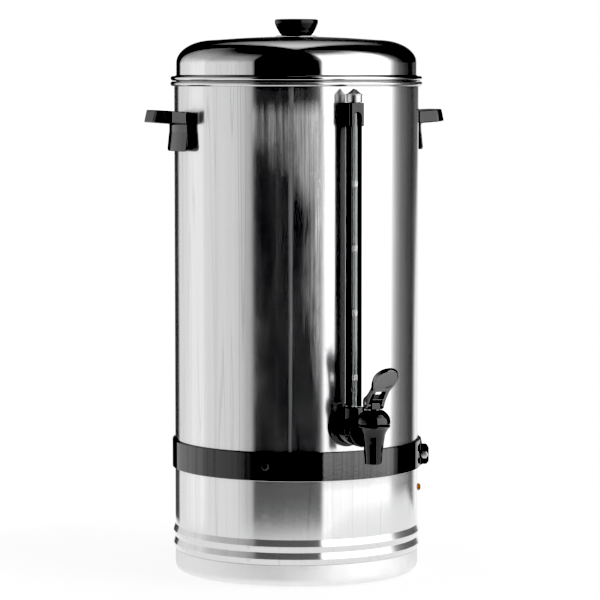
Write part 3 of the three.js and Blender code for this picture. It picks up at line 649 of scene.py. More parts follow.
def build_percolator():
    low, high = heights("riser_tube")
    bore, tube_r = 4.75, 6
    collar = heights("coffee_basket")[0] - 0.3
    tube = filleted([
        (bore, low), (tube_r, low, 0.2), (tube_r, collar - 4, 1), (14, collar - 4, 0.6),
        (14, collar, 0.4), (tube_r, collar, 0.6), (tube_r, high, 0.4), (bore, high),
    ])
    turned("riser_pipe", tube, 48, side(), INNER_STEEL, "riser_tube", body="riser", slot="polished_steel")
    low, high = heights("riser_foot")
    foot = filleted([
        (28, low), (28, low + 7, 5), (20, high - 1.8, 4), (8, high, 2), (bore, high, 0.2),
        (bore, high - 1.2, 0.2), (19.5, high - 3, 4), (27, low + 6.4, 5), (27, low),
    ])
    turned("riser_bell", foot, 96, side(), INNER_STEEL, "riser_foot", body="riser")

    low, high = heights("coffee_basket")
    drum = perforated(7.4, 99.6, low, 1.2, [(radius, radius) for radius in range(14, 93, 6)])
    lathe(filleted([(100, low + 0.1), (100, high - 1.6, 1.0), (103, high - 1.5, 0.6), (103, high, 0.6),
                    (99.2, high, 1.0), (99.2, low + 0.1)]), 160, bm=drum)
    lathe([(7, low), (7.8, low), (7.8, high - 2), (7, high - 2)], 40, bm=drum)
    finished("basket_drum", drum, side(), INNER_STEEL, "coffee_basket", body="basket")

    low, high = heights("water_spreader")
    plate = perforated(7, 101.2, low, 1.4, [(radius, radius // 2) for radius in range(20, 93, 12)])
    lathe(filleted([(100.7, low + 0.1), (101.5, low + 0.1, 0.2), (101.5, high, 0.4),
                    (100.7, high, 0.4)]), 160, bm=plate)
    finished("spreader_plate", plate, side(), INNER_STEEL, "water_spreader", body="spreader")


# ---- handles

def guard_rows(inner, outer, flare):
    """Rings of a curved plate round the wall, a little wider below, with rounded lower corners."""
    guard_low = heights("right_handle")[0]
    steps, corner = 48, 5
    rows = []
    for k in range(steps + 1):
        z = guard_low + (GRIP_HIGH - guard_low) * k / steps
        rise = z - guard_low
        half = 25.0 - 2.0 * max(0, rise - 13) / 25
        if rise < corner:
            half -= corner - math.sqrt(max(0, corner ** 2 - (corner - rise) ** 2))
        push = flare * max(0, 1 - rise / 19)
        spread = math.asin(half / inner)
        turns = [spread * (2 * t / 20 - 1) for t in range(21)]
        near = [(inner + push) * Vector((math.cos(a), math.sin(a))) for a in turns]
        far = [(outer + push) * Vector((math.cos(a), math.sin(a))) for a in reversed(turns)]
        rows.append([(x, y, z) for x, y in near + far])
    return rows


def build_handle(name, angle, node):
    """A hollow shelf grip over a curved finger guard, which stands on two bosses round the screws."""
    reach, draft, tilt = box_mm("right_handle")[1].x, 3, 0.07
    inner, outer, flare = WALL_R + 4, WALL_R + 6.6, 2
    outline = mirrored([
        (inner - 10, 27), (inner - 3, 26.8), (inner + 1, 25.6), (inner + 4, 25.2),
        (reach - 14.5, 25.2), (reach - 10, 23.3), (reach - 4.4, 18), (reach - 1.4, 15), (reach, 11),
    ])
    rows = []
    for z, pull in ((GRIP_LOW, 0), (GRIP_HIGH, draft)):
        pulled = [(x - pull * max(0, (x - reach + 16) / 16), y) for x, y in outline]
        rows.append([(x, y, z + tilt * (x - inner)) for x, y in pulled])
    drum = lathe(solid_rod(inner, GRIP_LOW - 3, GRIP_HIGH + 3), 200)
    pocket = prism(mirrored([(inner + 5, 22.2), (reach - 15.8, 22.2), (reach - 8, 16.5),
                             (reach - 5.7, 10)]), GRIP_LOW - 2, GRIP_HIGH - 2.6)
    bm = taken(cut(solid(loft(rows)), drum, pocket))
    loft(guard_rows(inner, outer, flare), bm)
    for hand in (-GRIP_SCREW_TURN, GRIP_SCREW_TURN):
        lathe([(0, WALL_R + 0.3), (5, WALL_R + 0.3), (5, inner + 2), (0, inner + 2)], 32,
              rotated(hand) @ moved(z=GRIP_HIGH - 6) @ ALONG_X, bm)
    moulded(name, bm, [], 0.55, 5, side(angle), BLACK, node)

    mark = lathe([(0, -0.12), (1.7, -0.12), (1.9, 0.02), (1.5, 0.12), (0, 0.08)], 32)
    for vert in mark.verts:
        vert.co.x *= 1.25
    lean = math.degrees(math.atan2(draft, GRIP_HIGH - GRIP_LOW))
    middle = (GRIP_LOW + GRIP_HIGH) / 2 + tilt * (reach - inner)
    place = side(angle, reach - draft / 2 - 0.35, middle, -lean) @ ALONG_X
    finished(name + "_gate_mark", mark, place, SATIN_BLACK)


def build_handles():
    for name, angle, back in (("right", 0, 1), ("left", 180, -1)):
        build_handle(f"{name}_grip", angle, f"{name}_handle")
        for end, way in (("back", back), ("front", -back)):
            node = f"{name}_handle_screw_{end}"
            place = side(angle + GRIP_SCREW_TURN * way, WALL_R - SHEET - 0.7, GRIP_HIGH - 6) @ ALONG_X
            pan_screw(node + "_head", 3.6, 2.2, 2, 8.4, place, node)


# ---- sight gauge

def build_gauge():
    tube_low, tube_high = heights("gauge_tube")
    channel_low, channel_high = heights("gauge_channel")
    back, front = reaches("gauge_channel")
    half, web, bore = 5.6, 0.85, 3.3
    on_tube = side(FRONT, GAUGE_X)
    tube = filleted([(bore, tube_low), (TUBE_R, tube_low, 0.3), (TUBE_R, tube_high, 0.4), (bore, tube_high)])
    turned("sight_tube", tube, 64, on_tube, GLASS, "gauge_tube")
    channel = prism([
        (back, -half), (front, -half), (front, web - half), (back + 1.3, web - half),
        (back + 1.3, half - web), (front, half - web), (front, half), (back, half),
    ], channel_low, channel_high)
    bevelled("gauge_trough", channel, 0.25, side(FRONT), BLACK, "gauge_channel")

    low, high = heights("gauge_bracket")
    nose = reaches("gauge_bracket")[1]
    block_half = 7.7
    roof = channel_high + 0.5
    bracket = prism(filleted([
        (129.5, 0), (129.5, -block_half, 1.5), (nose, -block_half, 3.2), (nose, block_half, 3.2),
        (129.5, block_half, 1.5), (129.5, 0)])[:-1], low, high)
    cuboid((WALL_R + 0.4, 131), (-6, 6), (low, high), bm=bracket)
    room = cuboid((back - 0.3, front + 0.3), (-half - 0.3, half + 0.3), (low - 2, roof))
    window = prism([(-4, low - 2), (4, low - 2), *arc((0, roof - 4.5), (4, 4), 0, 180, 24)],
                   front - 1, nose + 2, FACING_X)
    top_bore = upright([(0, roof - 1), (6, roof - 1), (6, high + 2), (0, high + 2)], GAUGE_X, 48)
    moulded("gauge_head", bracket, [room, window, top_bore], 0.3, 4, side(FRONT), BLACK, "gauge_bracket")

    cap_low, cap_high = high + 0.3, heights("gauge_cap")[1]
    shoulder = cap_high - 5.3
    cap = filleted([
        (0, tube_high + 0.3), (5.7, tube_high + 0.3, 0.3), (5.7, cap_low, 0.2), (7.5, cap_low, 0.3),
        (7.5, shoulder - 0.9, 0.15), (7.95, shoulder - 0.5, 0.25), (7.95, shoulder + 0.1, 0.3),
        (6.9, shoulder + 0.5, 0.3), (2.0, cap_high - 0.9, 0.5), (1.6, cap_high, 0.5), (0, cap_high),
    ], 4)
    turned("gauge_finial", cap, 96, on_tube, SATIN_CHROME, "gauge_cap")
    for node in ("upper_gauge_seal", "lower_gauge_seal"):
        low, high = heights(node)
        ring = filleted([(4.7, low), (5.7, low, 0.4), (5.7, high, 0.4), (4.7, high)])
        turned(node + "_ring", ring, 48, on_tube, RUBBER, node)
    for node in ("bracket_screw_lower", "bracket_screw_upper"):
        place = side(FRONT, WALL_R - SHEET - 0.7, sum(heights(node)) / 2) @ ALONG_X
        pan_screw(node + "_head", 3.2, 2, 1.5, 10, place, node)
    for index in range(4):
        build_mark(index + 1, tube_low + 34.2 + 61.0 * index)


def build_mark(number, height):
    """A printed mark on the sight tube: a short line and a number of cups that reads upwards."""
    skin = TUBE_R + 0.03
    words = bpy.data.curves.new("words", "FONT")
    words.body = str(20 * number)
    words.size = 5.6
    words.offset = 0.03
    words.extrude = 0.02
    words.align_x = "CENTER"
    words.align_y = "CENTER"
    letters = added("letters", words)
    mesh = evaluated_mesh(letters)
    bpy.data.objects.remove(letters)
    bm = bmesh.new()
    bm.from_mesh(mesh)
    bpy.data.meshes.remove(mesh)
    cuboid((-3.0, 3.0), (-3.3, -2.8), (-0.02, 0.02), bm=bm)
    bmesh.ops.triangulate(bm, faces=bm.faces)
    bmesh.ops.subdivide_edges(bm, edges=[e for e in bm.edges if e.calc_length() > 0.8], cuts=2)
    for vert in bm.verts:
        vert.co = Vector((*polar(skin + vert.co.z, vert.co.y / skin), vert.co.x))
    finished(f"scale_mark_{number}", bm, side(FRONT, GAUGE_X, height), PRINT)


# ---- tap

LEVEL_TAP = moved(z=TAP_Z) @ ALONG_X         # the tap's horizontal axis


def level(profile, bm=None, segments=64):
    return lathe(profile, segments, LEVEL_TAP, bm)


def upright(profile, x, segments=64, bm=None):
    return lathe(profile, segments, moved(x), bm)


def build_elbow():
    shank_in = reaches("tap_elbow")[0]
    socket_high = heights("tap_elbow")[1]
    flange = WALL_R + 1.8
    nut_low, nut_high = reaches("union_nut")
    bm = level(solid_rod(8.5, shank_in, flange + 2))
    level(filleted([(0, flange), (18, flange, 0.6), (18, flange + 2.6, 1.2), (15.6, flange + 4.4, 1.4),
                    (0, flange + 4.4)]), bm)
    level(filleted([(0, flange + 1), (14, flange + 1), (14, nut_low - 0.3, 2.2), (0, nut_low - 0.3)]), bm)
    level(solid_rod(10, nut_low - 3, nut_low + 6.7), bm)
    upright(filleted([(0, TAP_Z), (10.6, TAP_Z), (10.2, TAP_Z + 14, 2), (10.0, socket_high, 1.2),
                      (0, socket_high)]), GAUGE_X, bm=bm)
    bores = [
        level(solid_rod(5, shank_in - 2, nut_low + 10), segments=32),
        upright(solid_rod(2.7, TAP_Z, socket_high), GAUGE_X, 24),
        upright(solid_rod(5.4, socket_high - 6.8, socket_high + 2), GAUGE_X, 48),
    ]
    moulded("tap_manifold", bm, bores, 0.42, 5, side(FRONT), BLACK, "tap_elbow")

    ring = lathe(filleted([
        (10.3, nut_low), (14.1, nut_low, 0.6), (14.5, nut_low + 1.4, 0.6), (14.5, nut_high - 1.6, 1.0),
        (12.9, nut_high, 1.4), (7.6, nut_high, 0.3), (7.6, nut_high - 2.9), (10.3, nut_high - 2.9),
    ]), 144)
    for vert in ring.verts:
        reach = math.hypot(vert.co.x, vert.co.y)
        if reach > 14.2:
            flute = 0.35 * max(0, math.cos(24 * math.atan2(vert.co.y, vert.co.x)))
            vert.co.x *= (reach - flute) / reach
            vert.co.y *= (reach - flute) / reach
    on_axis = side(FRONT, 0, TAP_Z) @ ALONG_X
    finished("union_ring", ring, on_axis, BLACK, "union_nut")
    washer = level(filleted([(9, 114), (17.5, 114), (17.5, 121.5, 0.4), (9, 121.5)]))
    dressed(cut(solid(washer), lathe(solid_rod(WALL_R + 0.3, 120, 180), 256)), "saddle_washer",
            side(FRONT), RUBBER, "saddle_gasket")
    low, high = reaches("tap_lock_nut")
    bevelled("tap_back_nut", prism(hexagon(24), low, high), 0.7, on_axis, SATIN_BLACK, "tap_lock_nut",
             cuts=[lathe(solid_rod(8.8, low - 2, high + 2), 48)])


def build_tap_body():
    spout, collar = heights("tap_body")
    tail = reaches("tap_body")[0]
    bm = upright(filleted([
        (0, spout), (7.0, spout, 0.4), (8.1, spout + 0.5, 0.6), (8.5, spout + 7, 20),
        (9.4, spout + 18.5, 40), (11, spout + 29, 40), (14.2, spout + 34.3, 12),
        (15.6, spout + 35.3, 0.8), (15.6, spout + 36.9, 0.5), (11, spout + 37.3, 0.2),
        (11, collar, 0.5), (0, collar),
    ], 10), TAP_X, 96)
    level(solid_rod(7.2, tail + 1, TAP_X - 8), bm)
    level(solid_rod(9.8, tail, reaches("union_nut")[1] - 3.2, 0.4), bm)
    mouth = filleted([(0, spout - 1), (6.2, spout - 1), (5, spout + 3), (5, 150), (0, 150)])
    bores = [
        upright(solid_rod(7.2, 144, collar + 2), TAP_X, 48), upright(mouth, TAP_X, 48),
        level(solid_rod(4.5, tail - 2, TAP_X), segments=32),
    ]
    moulded("tap_barrel", bm, bores, 0.33, 3, side(FRONT), BLACK, "tap_body")

    low, high = heights("tap_bonnet")
    dome = filleted([
        (11.3, low), (15.2, low, 0.3), (15.8, low + 0.6, 0.4), (15.8, low + 2.4, 4),
        (15.2, low + 6.2, 7), (12.2, low + 10.4, 7), (9.2, high - 0.7, 3), (7.8, high, 0.6),
        (2.6, high, 0.4), (2.6, high - 2.5), (6.2, high - 2.5), (6.2, high - 7.2), (11.3, high - 7.2),
        (11.3, low),
    ], 10)[:-1]
    turned("tap_dome", dome, 128, side(FRONT, TAP_X), BLACK, "tap_bonnet", crease=50)


def build_tap_stem():
    low, high = heights("tap_stem")
    head_low = heights("tap_bonnet")[1] + 0.5
    knuckle = 5.3
    here = side(FRONT, TAP_X)
    bm = lathe(filleted([
        (0, low), (2.2, low, 0.2), (2.2, 151.3), (5.5, 151.3, 0.3), (5.5, 152.6, 0.3), (2.2, 152.6),
        (2.2, head_low + 1), (0, head_low + 1)]), 32)
    prism([(-knuckle, head_low), (knuckle, head_low),
           *arc((0, high - knuckle), (knuckle, knuckle), 0, 180, 24)], -4.5, 4.5, ON_EDGE, bm)
    hole = lathe(solid_rod(1.8, -6, 6), 32, moved(z=PIVOT_Z) @ ALONG_Y)
    moulded("stem_head", bm, [hole], 0.25, 3, here, BLACK, "tap_stem", "stem")
    pin = filleted([(0, -8.6), (1.5, -8.6, 0.3), (1.5, 8.6, 0.3), (0, 8.6)])
    turned("pivot_pin", pin, 32, side(FRONT, TAP_X, PIVOT_Z) @ ALONG_Y, CHROME, "lever_pin", body="stem")
    low, high = heights("seat_cup")
    cup = filleted([(0, low), (5.2, low, 0.3), (6.2, low + 1.2, 0.6), (6.2, high, 0.4),
                    (2.5, high, 0.2), (2.5, low + 3.4), (0, low + 3.4)])
    turned("seat_washer", cup, 48, here, RUBBER, "seat_cup", body="stem")

    low, high = heights("stem_spring")
    wire_r, coil_r, turns, stem_travel = 0.4, 4.5, 5, 4
    coil = []
    for k in range(24 * turns + 1):
        share = k / (24 * turns)
        climb = min(1, max(0, (share - 0.1) / 0.8))
        height = low + 0.45 + (high - low - 0.9) * climb
        coil.append((*polar(coil_r, 2 * math.pi * turns * share), height))
    spring = finished("return_coil", wire(coil, wire_r), here, CHROME, "stem_spring")
    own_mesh(spring)


def build_lever():
    """The fork lies along X from the pivot and carries an oval thumb plate with a dished underside."""
    lean, reach = 46, 50.2
    leg_in, leg_out, eye = 5.0, 8.6, 6.2
    long, wide = 14.0, 12.4
    middle = reach - long
    window_start, window_end = 9.0, 20.0

    def oval(rings, shift, sides):
        turns = [2 * math.pi * k / sides for k in range(sides)]
        return loft([[(middle + shift + long * scale * math.cos(a), wide * scale * math.sin(a), z)
                      for a in turns] for scale, z in rings])

    bm = oval([(0.88, -2.7), (0.975, -2.3), (1.0, -1.5), (1.0, 1.0), (0.96, 2.0), (0.86, 2.6)], 0, 96)
    prism([(window_end, -leg_out), (middle - 6, -wide + 1.2), (middle - 6, wide - 1.2),
           (window_end, leg_out)], -2.7, 2.4, bm=bm)
    leg = [(0, -eye + 0.6), (10, -3.6), (window_end + 2, -2.9), (window_end + 2, 2.6), (10, 3.4),
           (0, eye - 0.6)]
    for low, high in ((-leg_out, -leg_in), (leg_in, leg_out)):
        prism(leg, -high, -low, ON_EDGE, bm)
        lathe(solid_rod(eye, low, high, 0.5), 48, ALONG_Y, bm)
    cuboid((6, window_start), (-leg_out, leg_out), (-3.4, 3.2), bm=bm)
    cuts = [
        oval([(0.90, -4.0), (0.90, -2.4), (0.84, -1.9), (0.6, -1.6), (0.3, -1.5)], 0.6, 64),
        cuboid((window_start, window_end), (-leg_in, leg_in), (-8, 8)),
        lathe(solid_rod(1.8, -12, 12), 32, ALONG_Y),
    ]
    moulded("tap_handle", bm, cuts, 0.3, 3, side(FRONT, TAP_X, PIVOT_Z, lean - 90), LEVER_BLACK,
            "tap_lever", "lever")


# ---- clamp band

def band_path(middle, slit, bend, ear_out):
    """Frames along the band, with each one's share of an ear: along one ear, round its bend, round
    the urn, and back along the other ear. slit is half the gap between the ears."""
    centre_r = middle + bend
    start = math.asin((slit + bend) / centre_r)
    bend_x = centre_r * math.cos(start)
    half = [(ear_out - (ear_out - bend_x) * k / 6, slit, 0, 1, 1 - k / 6) for k in range(7)]
    for k in range(1, 9):
        turn = k / 8 * (math.pi / 2 - start)
        out_x, out_y = math.sin(turn), math.cos(turn)
        half.append((bend_x - bend * out_x, slit + bend - bend * out_y, out_x, out_y, 0))
    steps = 220
    first = math.atan2(slit + bend, bend_x)
    turns = [first + (2 * math.pi - 2 * first) * k / steps for k in range(1, steps)]
    ring = [(*polar(middle, a), *polar(1, a), 0) for a in turns]
    other = [(x, -y, out_x, -out_y, ear) for x, y, out_x, out_y, ear in reversed(half)]
    return [((Vector((x, y, 0)), Vector((out_x, out_y, 0)), Vector((0, 0, 1))), ear)
            for x, y, out_x, out_y, ear in half + ring + other]


def build_band():
    thick, slit_half, rim = 1.3, 4, 0.35
    middle = WALL_R + 2.05
    half = thick / 2
    path = band_path(middle, slit_half + half, 1.3, 130.8)

    def section(index):
        ear = path[index][1]
        corner = 3.0 * max(0, (ear - 0.6) / 0.4) ** 2
        bottom = (BAND_LOW + 1.1 if ear else BAND_LOW) + corner
        top = (BAND_HIGH - 7.1 if ear else BAND_HIGH) - corner
        return [(-half, bottom + rim), (-half + rim, bottom), (half - rim, bottom), (half, bottom + rim),
                (half, top - rim), (half - rim, top), (-half + rim, top), (-half, top - rim)]

    band = sweep([spot for spot, ear in path], section)
    finished("tension_band", band, side(EAR_ANGLE), BAND_BLACK, "clamp_band")

    place = side(EAR_ANGLE, 126.5, sum(heights("band_bolt")) / 2) @ ALONG_Y
    under_head = -(slit_half + 1.2 + 0.3)
    bevelled("clamp_bolt_head", prism(hexagon(7), under_head - 2.8, under_head), 0.35, place,
             SATIN_CHROME, "band_bolt")
    crest, root = 2.0, 1.7
    shank = [(0, under_head - 0.2), (crest, under_head - 0.2)]
    z = under_head + 1
    while z < 10:
        shank += [(crest, z), (root, z + 0.35)]
        z += 0.7
    shank += [(1.9, 10.4), (1.4, 11), (0, 11)]
    turned("clamp_bolt_shank", shank, 32, place, CHROME)
    bevelled("clamp_bolt_nut", prism(hexagon(7), 5.5, 8.7), 0.3, place, SATIN_CHROME, "band_bolt_nut",
             cuts=[lathe(solid_rod(2.2, 4, 10), 32)])
    for index, angle in enumerate(SCREW_ANGLES):
        node = f"band_screw_{index + 1}"
        inwards = side(angle, middle + half + 0.25, sum(heights(node)) / 2) @ ALONG_X
        pan_screw(node + "_head", 4.3, 2.2, 2, 6.5, inwards @ rotated(180, "X"), node, ZINC)


# ---- base

def build_base():
    inner, collar = WALL_R - SHEET, WALL_R + 0.3
    shell_low, high = heights("base_shell")

    def bead(z):
        return [(WALL_R + 1.9, z - 1.4, 1.5), (WALL_R + 1.9, z + 0.4, 1.5), (WALL_R + 0.3, z + 5.4, 2),
                (WALL_R, z + 6.4, 1)]

    profile = filleted([
        (inner, shell_low), (WALL_R, shell_low, 0.2), (WALL_R + 0.4, shell_low + 0.8, 0.5), *bead(24),
        (WALL_R + 0.5, 31.6, 1.2), *bead(36.2), (WALL_R, shell_low + 50), (WALL_R, shell_low + 70),
        (WALL_R, BAND_LOW - 0.7, 0.1), (collar + SHEET, BAND_LOW - 0.2, 0.1), (collar + SHEET, high),
        (collar, high), (collar, BAND_LOW, 0.3), (inner, BAND_LOW - 1.3, 0.6), (inner, shell_low),
    ], 10)[:-1]
    shell = cut(
        solid(lathe(profile, 256)),
        lathe(solid_rod(3.3, 112, 130), 32, rotated(EAR_ANGLE) @ moved(z=77) @ ALONG_X),
        cuboid((110, 130), (-6.6, 6.6), (SWITCH_Z - 14.3, SWITCH_Z + 14.3)),
        cuboid((110, 130), (-13.75, 13.75), (INLET_Z - 10.35, INLET_Z + 10.35), rotated(90)))
    dressed(shell, "base_skirt", side(), BASE_STEEL, "base_shell")

    low = heights("base_pan")[0]
    rim, top = WALL_R - 0.1, shell_low - 0.15
    pan = filleted([
        (0, low), (rim, low, 8), (rim, top, 0.3), (rim - 1.1, top, 0.2), (rim - 1.1, top + 9.2, 0.2),
        (rim - 1.9, top + 9.2, 0.2), (rim - 1.9, low + SHEET, 7.2), (0, low + SHEET),
    ], 12)
    slots = [cuboid((30, 70), (-2.5, 2.5), (low - 1.5, low + 3), rotated(turn))
             for turn in range(0, 360, 60)]
    dressed(cut(solid(lathe(pan, 256)), *slots), "bottom_tray", side(), PAN_STEEL, "base_pan")
    foot = filleted([(0, 0), (6.8, 0, 0.4), (8, 0.6, 0.4), (8, 1.2, 0.2), (2.5, 1.2), (2.5, 5, 0.6), (0, 5)])
    for name, angle in (("front", -90), ("right", 30), ("left", 150)):
        turned(f"{name}_pad", foot, 48, side(angle, 98, -LIFT), RUBBER, f"{name}_foot")


# ---- controls

SWITCH_Z = 80
INLET_Z = 70


def framed(wide, high, z, rim, lip, thick):
    """A block through the wall, given by its half width and height, with a flange over the wall: a
    rim wider at the sides and a lip higher."""
    face = WALL_R + 0.3
    block = solid(cuboid((100, face + 0.5), (-wide, wide), (z - high, z + high)))
    plate = cuboid((face, face + thick), (-wide - rim, wide + rim), (z - high - lip, z + high + lip))
    return taken(cut(block, plate, operation="UNION"))


def build_controls():
    lens = filleted([
        (0, 104), (3, 104, 0.4), (3, 120.4), (3.7, 120.4, 0.2), (3.7, 121.2, 0.4), (3.0, 121.5, 0.2),
        (2.8, 122.4, 1), (1.9, 123, 0.8), (0, 123.1),
    ])
    place = side(EAR_ANGLE, 0, sum(heights("pilot_lamp")) / 2) @ ALONG_X
    turned("lamp_lens", lens, 64, place, AMBER, "pilot_lamp")

    z = SWITCH_Z
    bevelled("switch_frame", framed(6.3, 14, z, 1.2, 1.5, 1.6), 0.35, side(), SATIN_BLACK, "switch_housing",
             cuts=[cuboid((113.9, 125), (-5, 5), (z - 12.8, z + 12.8))])
    place = side(0, 117, z, 8)
    key = [(-2.5, -3), (1.5, -11.8), (4.2, -11.8), (3.5, -4), (3.3, 0), (3.5, 4), (4.2, 11.8),
           (1.5, 11.8), (-2.5, 3)]
    bevelled("switch_key", prism(key, -4.6, 4.6, ON_EDGE), 0.4, place, BLACK, "switch_rocker",
             body="rocker")
    dot = filleted([(0, 0), (1.3, 0), (1.3, 0.12), (0, 0.12)])
    turned("switch_on_mark", dot, 32, place @ moved(3.83, 0, -7.4) @ rotated(5.1, "Y") @ ALONG_X, PRINT,
           body="rocker", slot="black_plastic")

    mouth = [(-11, -7.5), (11, -7.5), (11, 3.5), (7, 7.5), (-7, 7.5), (-11, 3.5)]
    bevelled("inlet_frame", framed(13.4, 10, INLET_Z, 2, 2, 2), 0.5, side(90), SATIN_BLACK,
             "power_inlet", cuts=[prism(mouth, 106, 125, moved(z=INLET_Z) @ FACING_X)])
    for index, (y, z) in enumerate(((0, INLET_Z + 3), (-7, INLET_Z - 1), (7, INLET_Z - 1))):
        blade = cuboid((105, 119), (y - 1, y + 1), (z - 2, z + 2))
        bevelled(f"inlet_blade_{index + 1}", blade, 0.3, side(90), CHROME)


# ---- heaters and wiring, seen through the slots

def build_heaters():
    low, high = heights("heat_plate")
    plate = filleted([(36, low), (88, low, 0.6), (88, high, 0.6), (36, high)])
    turned("heat_spreader", plate, 96, side(), HEATER, "heat_plate")
    turns = [math.radians(-75 + 330 * k / 40) for k in range(41)]
    ring = [(*polar(62, a), 111.8) for a in turns]
    (first_x, first_y, _), (last_x, last_y, _) = ring[0], ring[-1]
    route = [(first_x - 3, first_y - 1, 98), (first_x - 2, first_y, 106), *ring,
             (last_x + 2, last_y, 106), (last_x + 3, last_y - 1, 98)]
    finished("ring_element", wire(smooth_route(route, 3), 4.1, 16), side(), HEATER, "heating_element")
    turned("pump_element", solid_rod(26, *heights("pump_heater"), 1.2), 96, side(), HEATER, "pump_heater")
    for node, radius in (("thermostat", 8.5), ("thermal_cutout", 7)):
        low, high = box_mm(node)
        middle = (low + high) / 2
        disc = filleted([(0, low.z), (radius * 0.6, low.z, 0.4), (radius * 0.6, low.z + 3, 0.3),
                         (radius, low.z + 3.2, 0.5), (radius, high.z, 0.5), (0, high.z)])
        turned(node + "_disc", disc, 48, AS_PACKED @ moved(middle.x, middle.y), CERAMIC, node)
    low, high = box_mm("terminal_block")
    wells = [lathe(solid_rod(2.6, high.z - 6, high.z + 2), 24, moved(x, y))
             for x in (-10, 0, 10) for y in (low.y + 3.6, high.y - 3.6)]
    bevelled("wiring_block", cuboid(*zip(low, high)), 0.6, AS_PACKED, CERAMIC, "terminal_block",
             cuts=wells)
    leads = {
        "thermostat_lead": [(-10, 62, 19.1), (-11, 61, 40), (-32, 38, 78), (-39.8, 23, 107.2)],
        "cutout_lead": [(10, 62, 19.1), (11, 61, 40), (32, 38, 78), (39.8, 23, 109.2)],
        "inlet_lead": [(0, 98.6, 66), (0, 86, 60), (0, 66, 36), (0, 62, 19.1)],
    }
    for node, route in leads.items():
        finished(node + "_wire", wire(smooth_route(route), 1.45), side(), WIRE, node)


# ---- studio

def aimed(name, data, place, target):
    """A camera or lamp at a place, turned towards its target."""
    made = added(name, data)
    made.location = place
    made.rotation_euler = (target - place).to_track_quat("-Z", "Y").to_euler()
    return made


def build_camera():
    distance, eye_high, aim_high, aim_right, focal = 2.809, 0.480, 0.263, 0.0035, 171.1
    axis = Vector((AXIS.x, AXIS.y, LIFT)) * MM
    towards = Vector((*polar(1, CAMERA_TURN), 0))
    eye = axis + towards * distance + Vector((0, 0, eye_high))
    aim = axis + Vector((-towards.y, towards.x, 0)) * aim_right + Vector((0, 0, aim_high))
    lens = bpy.data.cameras.new("camera")
    lens.lens = focal
    lens.sensor_width = 36
    lens.clip_end = 20
    bpy.context.scene.camera = aimed("camera", lens, eye, aim)


def stops(pairs, full, top=1):
    """Ramp stops from (angle, level) pairs, with 0 degrees in the middle of the ramp."""
    return [(0.5 + angle / full, level / top) for angle, level in pairs]


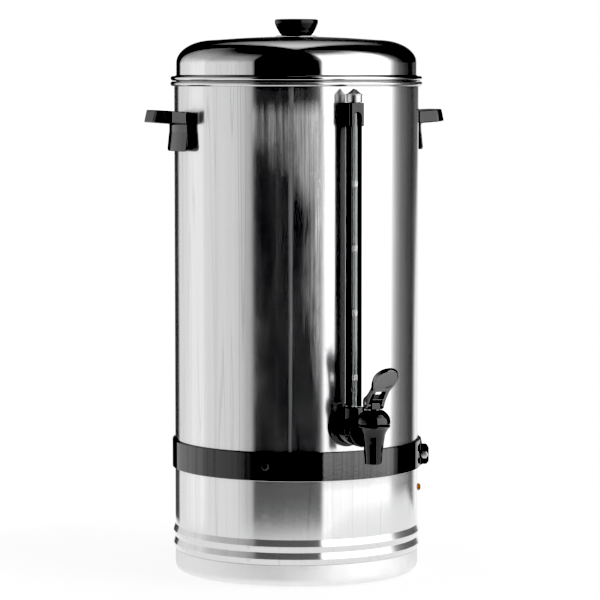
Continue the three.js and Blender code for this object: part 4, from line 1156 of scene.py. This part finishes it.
def build_world():
    """A white room for the eye, and for reflections a studio of bright walls and dark gaps.
    Turns are measured from the direction in which the camera stands, to its right."""
    world = bpy.data.worlds.new("studio")
    bpy.context.scene.world = world
    world.use_nodes = True
    n = Nodes(world.node_tree)
    facing = n.add("VectorRotate", {"Vector": n.add("TexCoord").outputs["Generated"],
                                    "Angle": -CAMERA_TURN}, rotation_type="Z_AXIS").outputs[0]
    split = n.add("SeparateXYZ", {0: facing})
    turn = n.math("ARCTAN2", split.outputs[1], split.outputs[0])
    share = n.plus(n.math("DIVIDE", turn, 2 * math.pi), 0.5)
    rise = n.plus(n.math("DIVIDE", n.math("ARCSINE", split.outputs[2]), math.pi), 0.5)

    around = n.ramp(share, stops([
        (-180, 0.7), (-171, 0.6), (-168, 0.06), (-149.5, 0.03), (-145.5, 1.0), (-128, 1.05),
        (-122, 1.25), (-98, 1.3), (-94, 1.08), (-60, 1.0), (-46, 0.72), (-42, 0.55), (-40, 0.0),
        (23, 0.0), (25, 2.2), (97, 2.2), (103, 1.1), (108, 0.45), (116, 0.2), (124, 0.1),
        (133, 0.05), (142, 0.05), (147, 0.7), (153, 1.2), (166, 1.0),
    ], 360, 3))
    left = n.ramp(rise, stops([(-90, 1), (1, 1), (9, 0.8), (20, 0.55), (36, 0.4), (48, 0.2),
                               (58, 0.03), (90, 0)], 180))
    right = n.ramp(rise, stops([(-90, 0.5), (-8.4, 0.5), (-8.0, 1), (42, 1), (56, 0.5), (68, 0.08),
                                (90, 0)], 180))
    back = n.ramp(rise, stops([(-90, 1), (1, 1), (3.5, 0.12), (12, 0.05), (60, 0.03), (90, 0)], 180))
    is_left = n.ramp(share, stops([(-156, 0), (-136, 1), (-6, 1), (-4, 0)], 360))
    is_right = n.ramp(share, stops([(-6, 0), (-4, 1), (104, 1), (126, 0)], 360))
    is_back = n.minus(1.0, n.plus(is_left, is_right), clamp=True)
    fade = n.plus(n.plus(n.times(left, is_left), n.times(right, is_right)), n.times(back, is_back))
    flat = n.add("VectorMath", {0: facing, 1: (1, 1, 0.04)}, operation="MULTIPLY").outputs[0]
    folds = n.times(n.ramp(n.noise(flat, 17, 4.0, 0.7), [(0.34, 0.72), (0.44, 0.95), (0.60, 1.0)]),
                    n.ramp(n.noise(flat, 75, 2.0, 0.5), [(0.34, 0.78), (0.42, 1.0)]))
    table_end = n.ramp(n.minus(rise, n.times(turn, 0.0682)), [(0.2935, 1.0), (0.3025, 0.12)])
    far_side = n.ramp(share, stops([(134, 0), (138, 1), (164, 1), (170, 0)], 360))
    table_end = n.plus(1.0, n.times(far_side, n.minus(table_end, 1.0)))
    room = n.times(around, 3, fade, folds, table_end)
    lamps_up = n.ramp(rise, stops([(26, 0), (36, 0.3), (50, 0.6), (66, 0.9), (78, 0.6), (88, 0.05)],
                                  180, 3))
    lamps_across = n.ramp(share, stops([(-180, 1), (-169, 1), (-160, 0), (160, 0), (169, 1), (180, 1)],
                                       360))
    mirror_light = n.plus(room, n.times(lamps_up, 3, lamps_across))
    path = n.add("LightPath").outputs
    shown = n.math("MAXIMUM", path["Is Camera Ray"], path["Is Transmission Ray"])
    other = n.minus(1.0, n.math("MAXIMUM", shown, path["Is Diffuse Ray"]))
    strength = n.plus(n.plus(shown, n.times(path["Is Diffuse Ray"], 0.95)), n.times(mirror_light, other))
    background = n.add("Background", {"Color": (1, 1, 1, 1), "Strength": strength})
    n.add("OutputWorld", {"Surface": background.outputs[0]})


def build_floor():
    """A white table top. The wall mirrors its edge, which is further away on the camera's right."""
    edge = [(-180, 384), (-134, 384), (-59, 454), (0, 501), (25, 506), (34, 598), (50, 662), (118, 662),
            (135, 470), (180, 384)]
    outline = []
    for (turn, reach), (next_turn, next_reach) in zip(edge, edge[1:]):
        for k in range(8):
            angle = CAMERA_TURN + math.radians(turn + (next_turn - turn) * k / 8)
            outline.append(polar(reach + (next_reach - reach) * k / 8, angle))
    table = solid(prism(outline, -LIFT - 4, -LIFT - 0.2), "table")
    table.data.transform(side())
    made, n = material("table_white")
    diffuse = n.add("BsdfDiffuse", {"Color": (0.9, 0.9, 0.9, 1)}).outputs[0]
    glow = n.add("Emission", {"Color": (1, 1, 1, 1), "Strength": 1.0}).outputs[0]
    seen = n.add("MixShader", {0: 0.8, 1: diffuse, 2: glow}).outputs[0]
    glossy = n.add("LightPath").outputs["Is Glossy Ray"]
    n.add("OutputMaterial", {"Surface": n.add("MixShader", {0: glossy, 1: seen, 2: glow}).outputs[0]})
    table.data.materials.append(made)


def build_lights():
    """Soft window light from the right, and a weaker one from the left."""
    for name, turn, size, power in (("window", 62, 1.4, 26), ("bounce", -80, 1.6, 9)):
        x, y = polar(2.2, CAMERA_TURN + math.radians(turn))
        place = Vector((AXIS.x * MM + x, AXIS.y * MM + y, 1.2))
        light = bpy.data.lights.new(name, "AREA")
        light.shape = "SQUARE"
        light.size = size
        light.energy = power
        lamp = aimed(name, light, place, Vector((AXIS.x * MM, AXIS.y * MM, 0.25)))
        lamp.visible_glossy = False
        lamp.visible_camera = False


view = bpy.context.scene.view_settings
view.view_transform = "Standard"
view.use_curve_mapping = True
view.curve_mapping.black_level = (0.056, 0.056, 0.056)
view.curve_mapping.update()

for build in (build_camera, build_world, build_floor, build_lights, build_lid, build_tank,
              build_percolator, build_handles, build_gauge, build_elbow, build_tap_body, build_tap_stem,
              build_lever, build_band, build_base, build_controls, build_heaters):
    build()
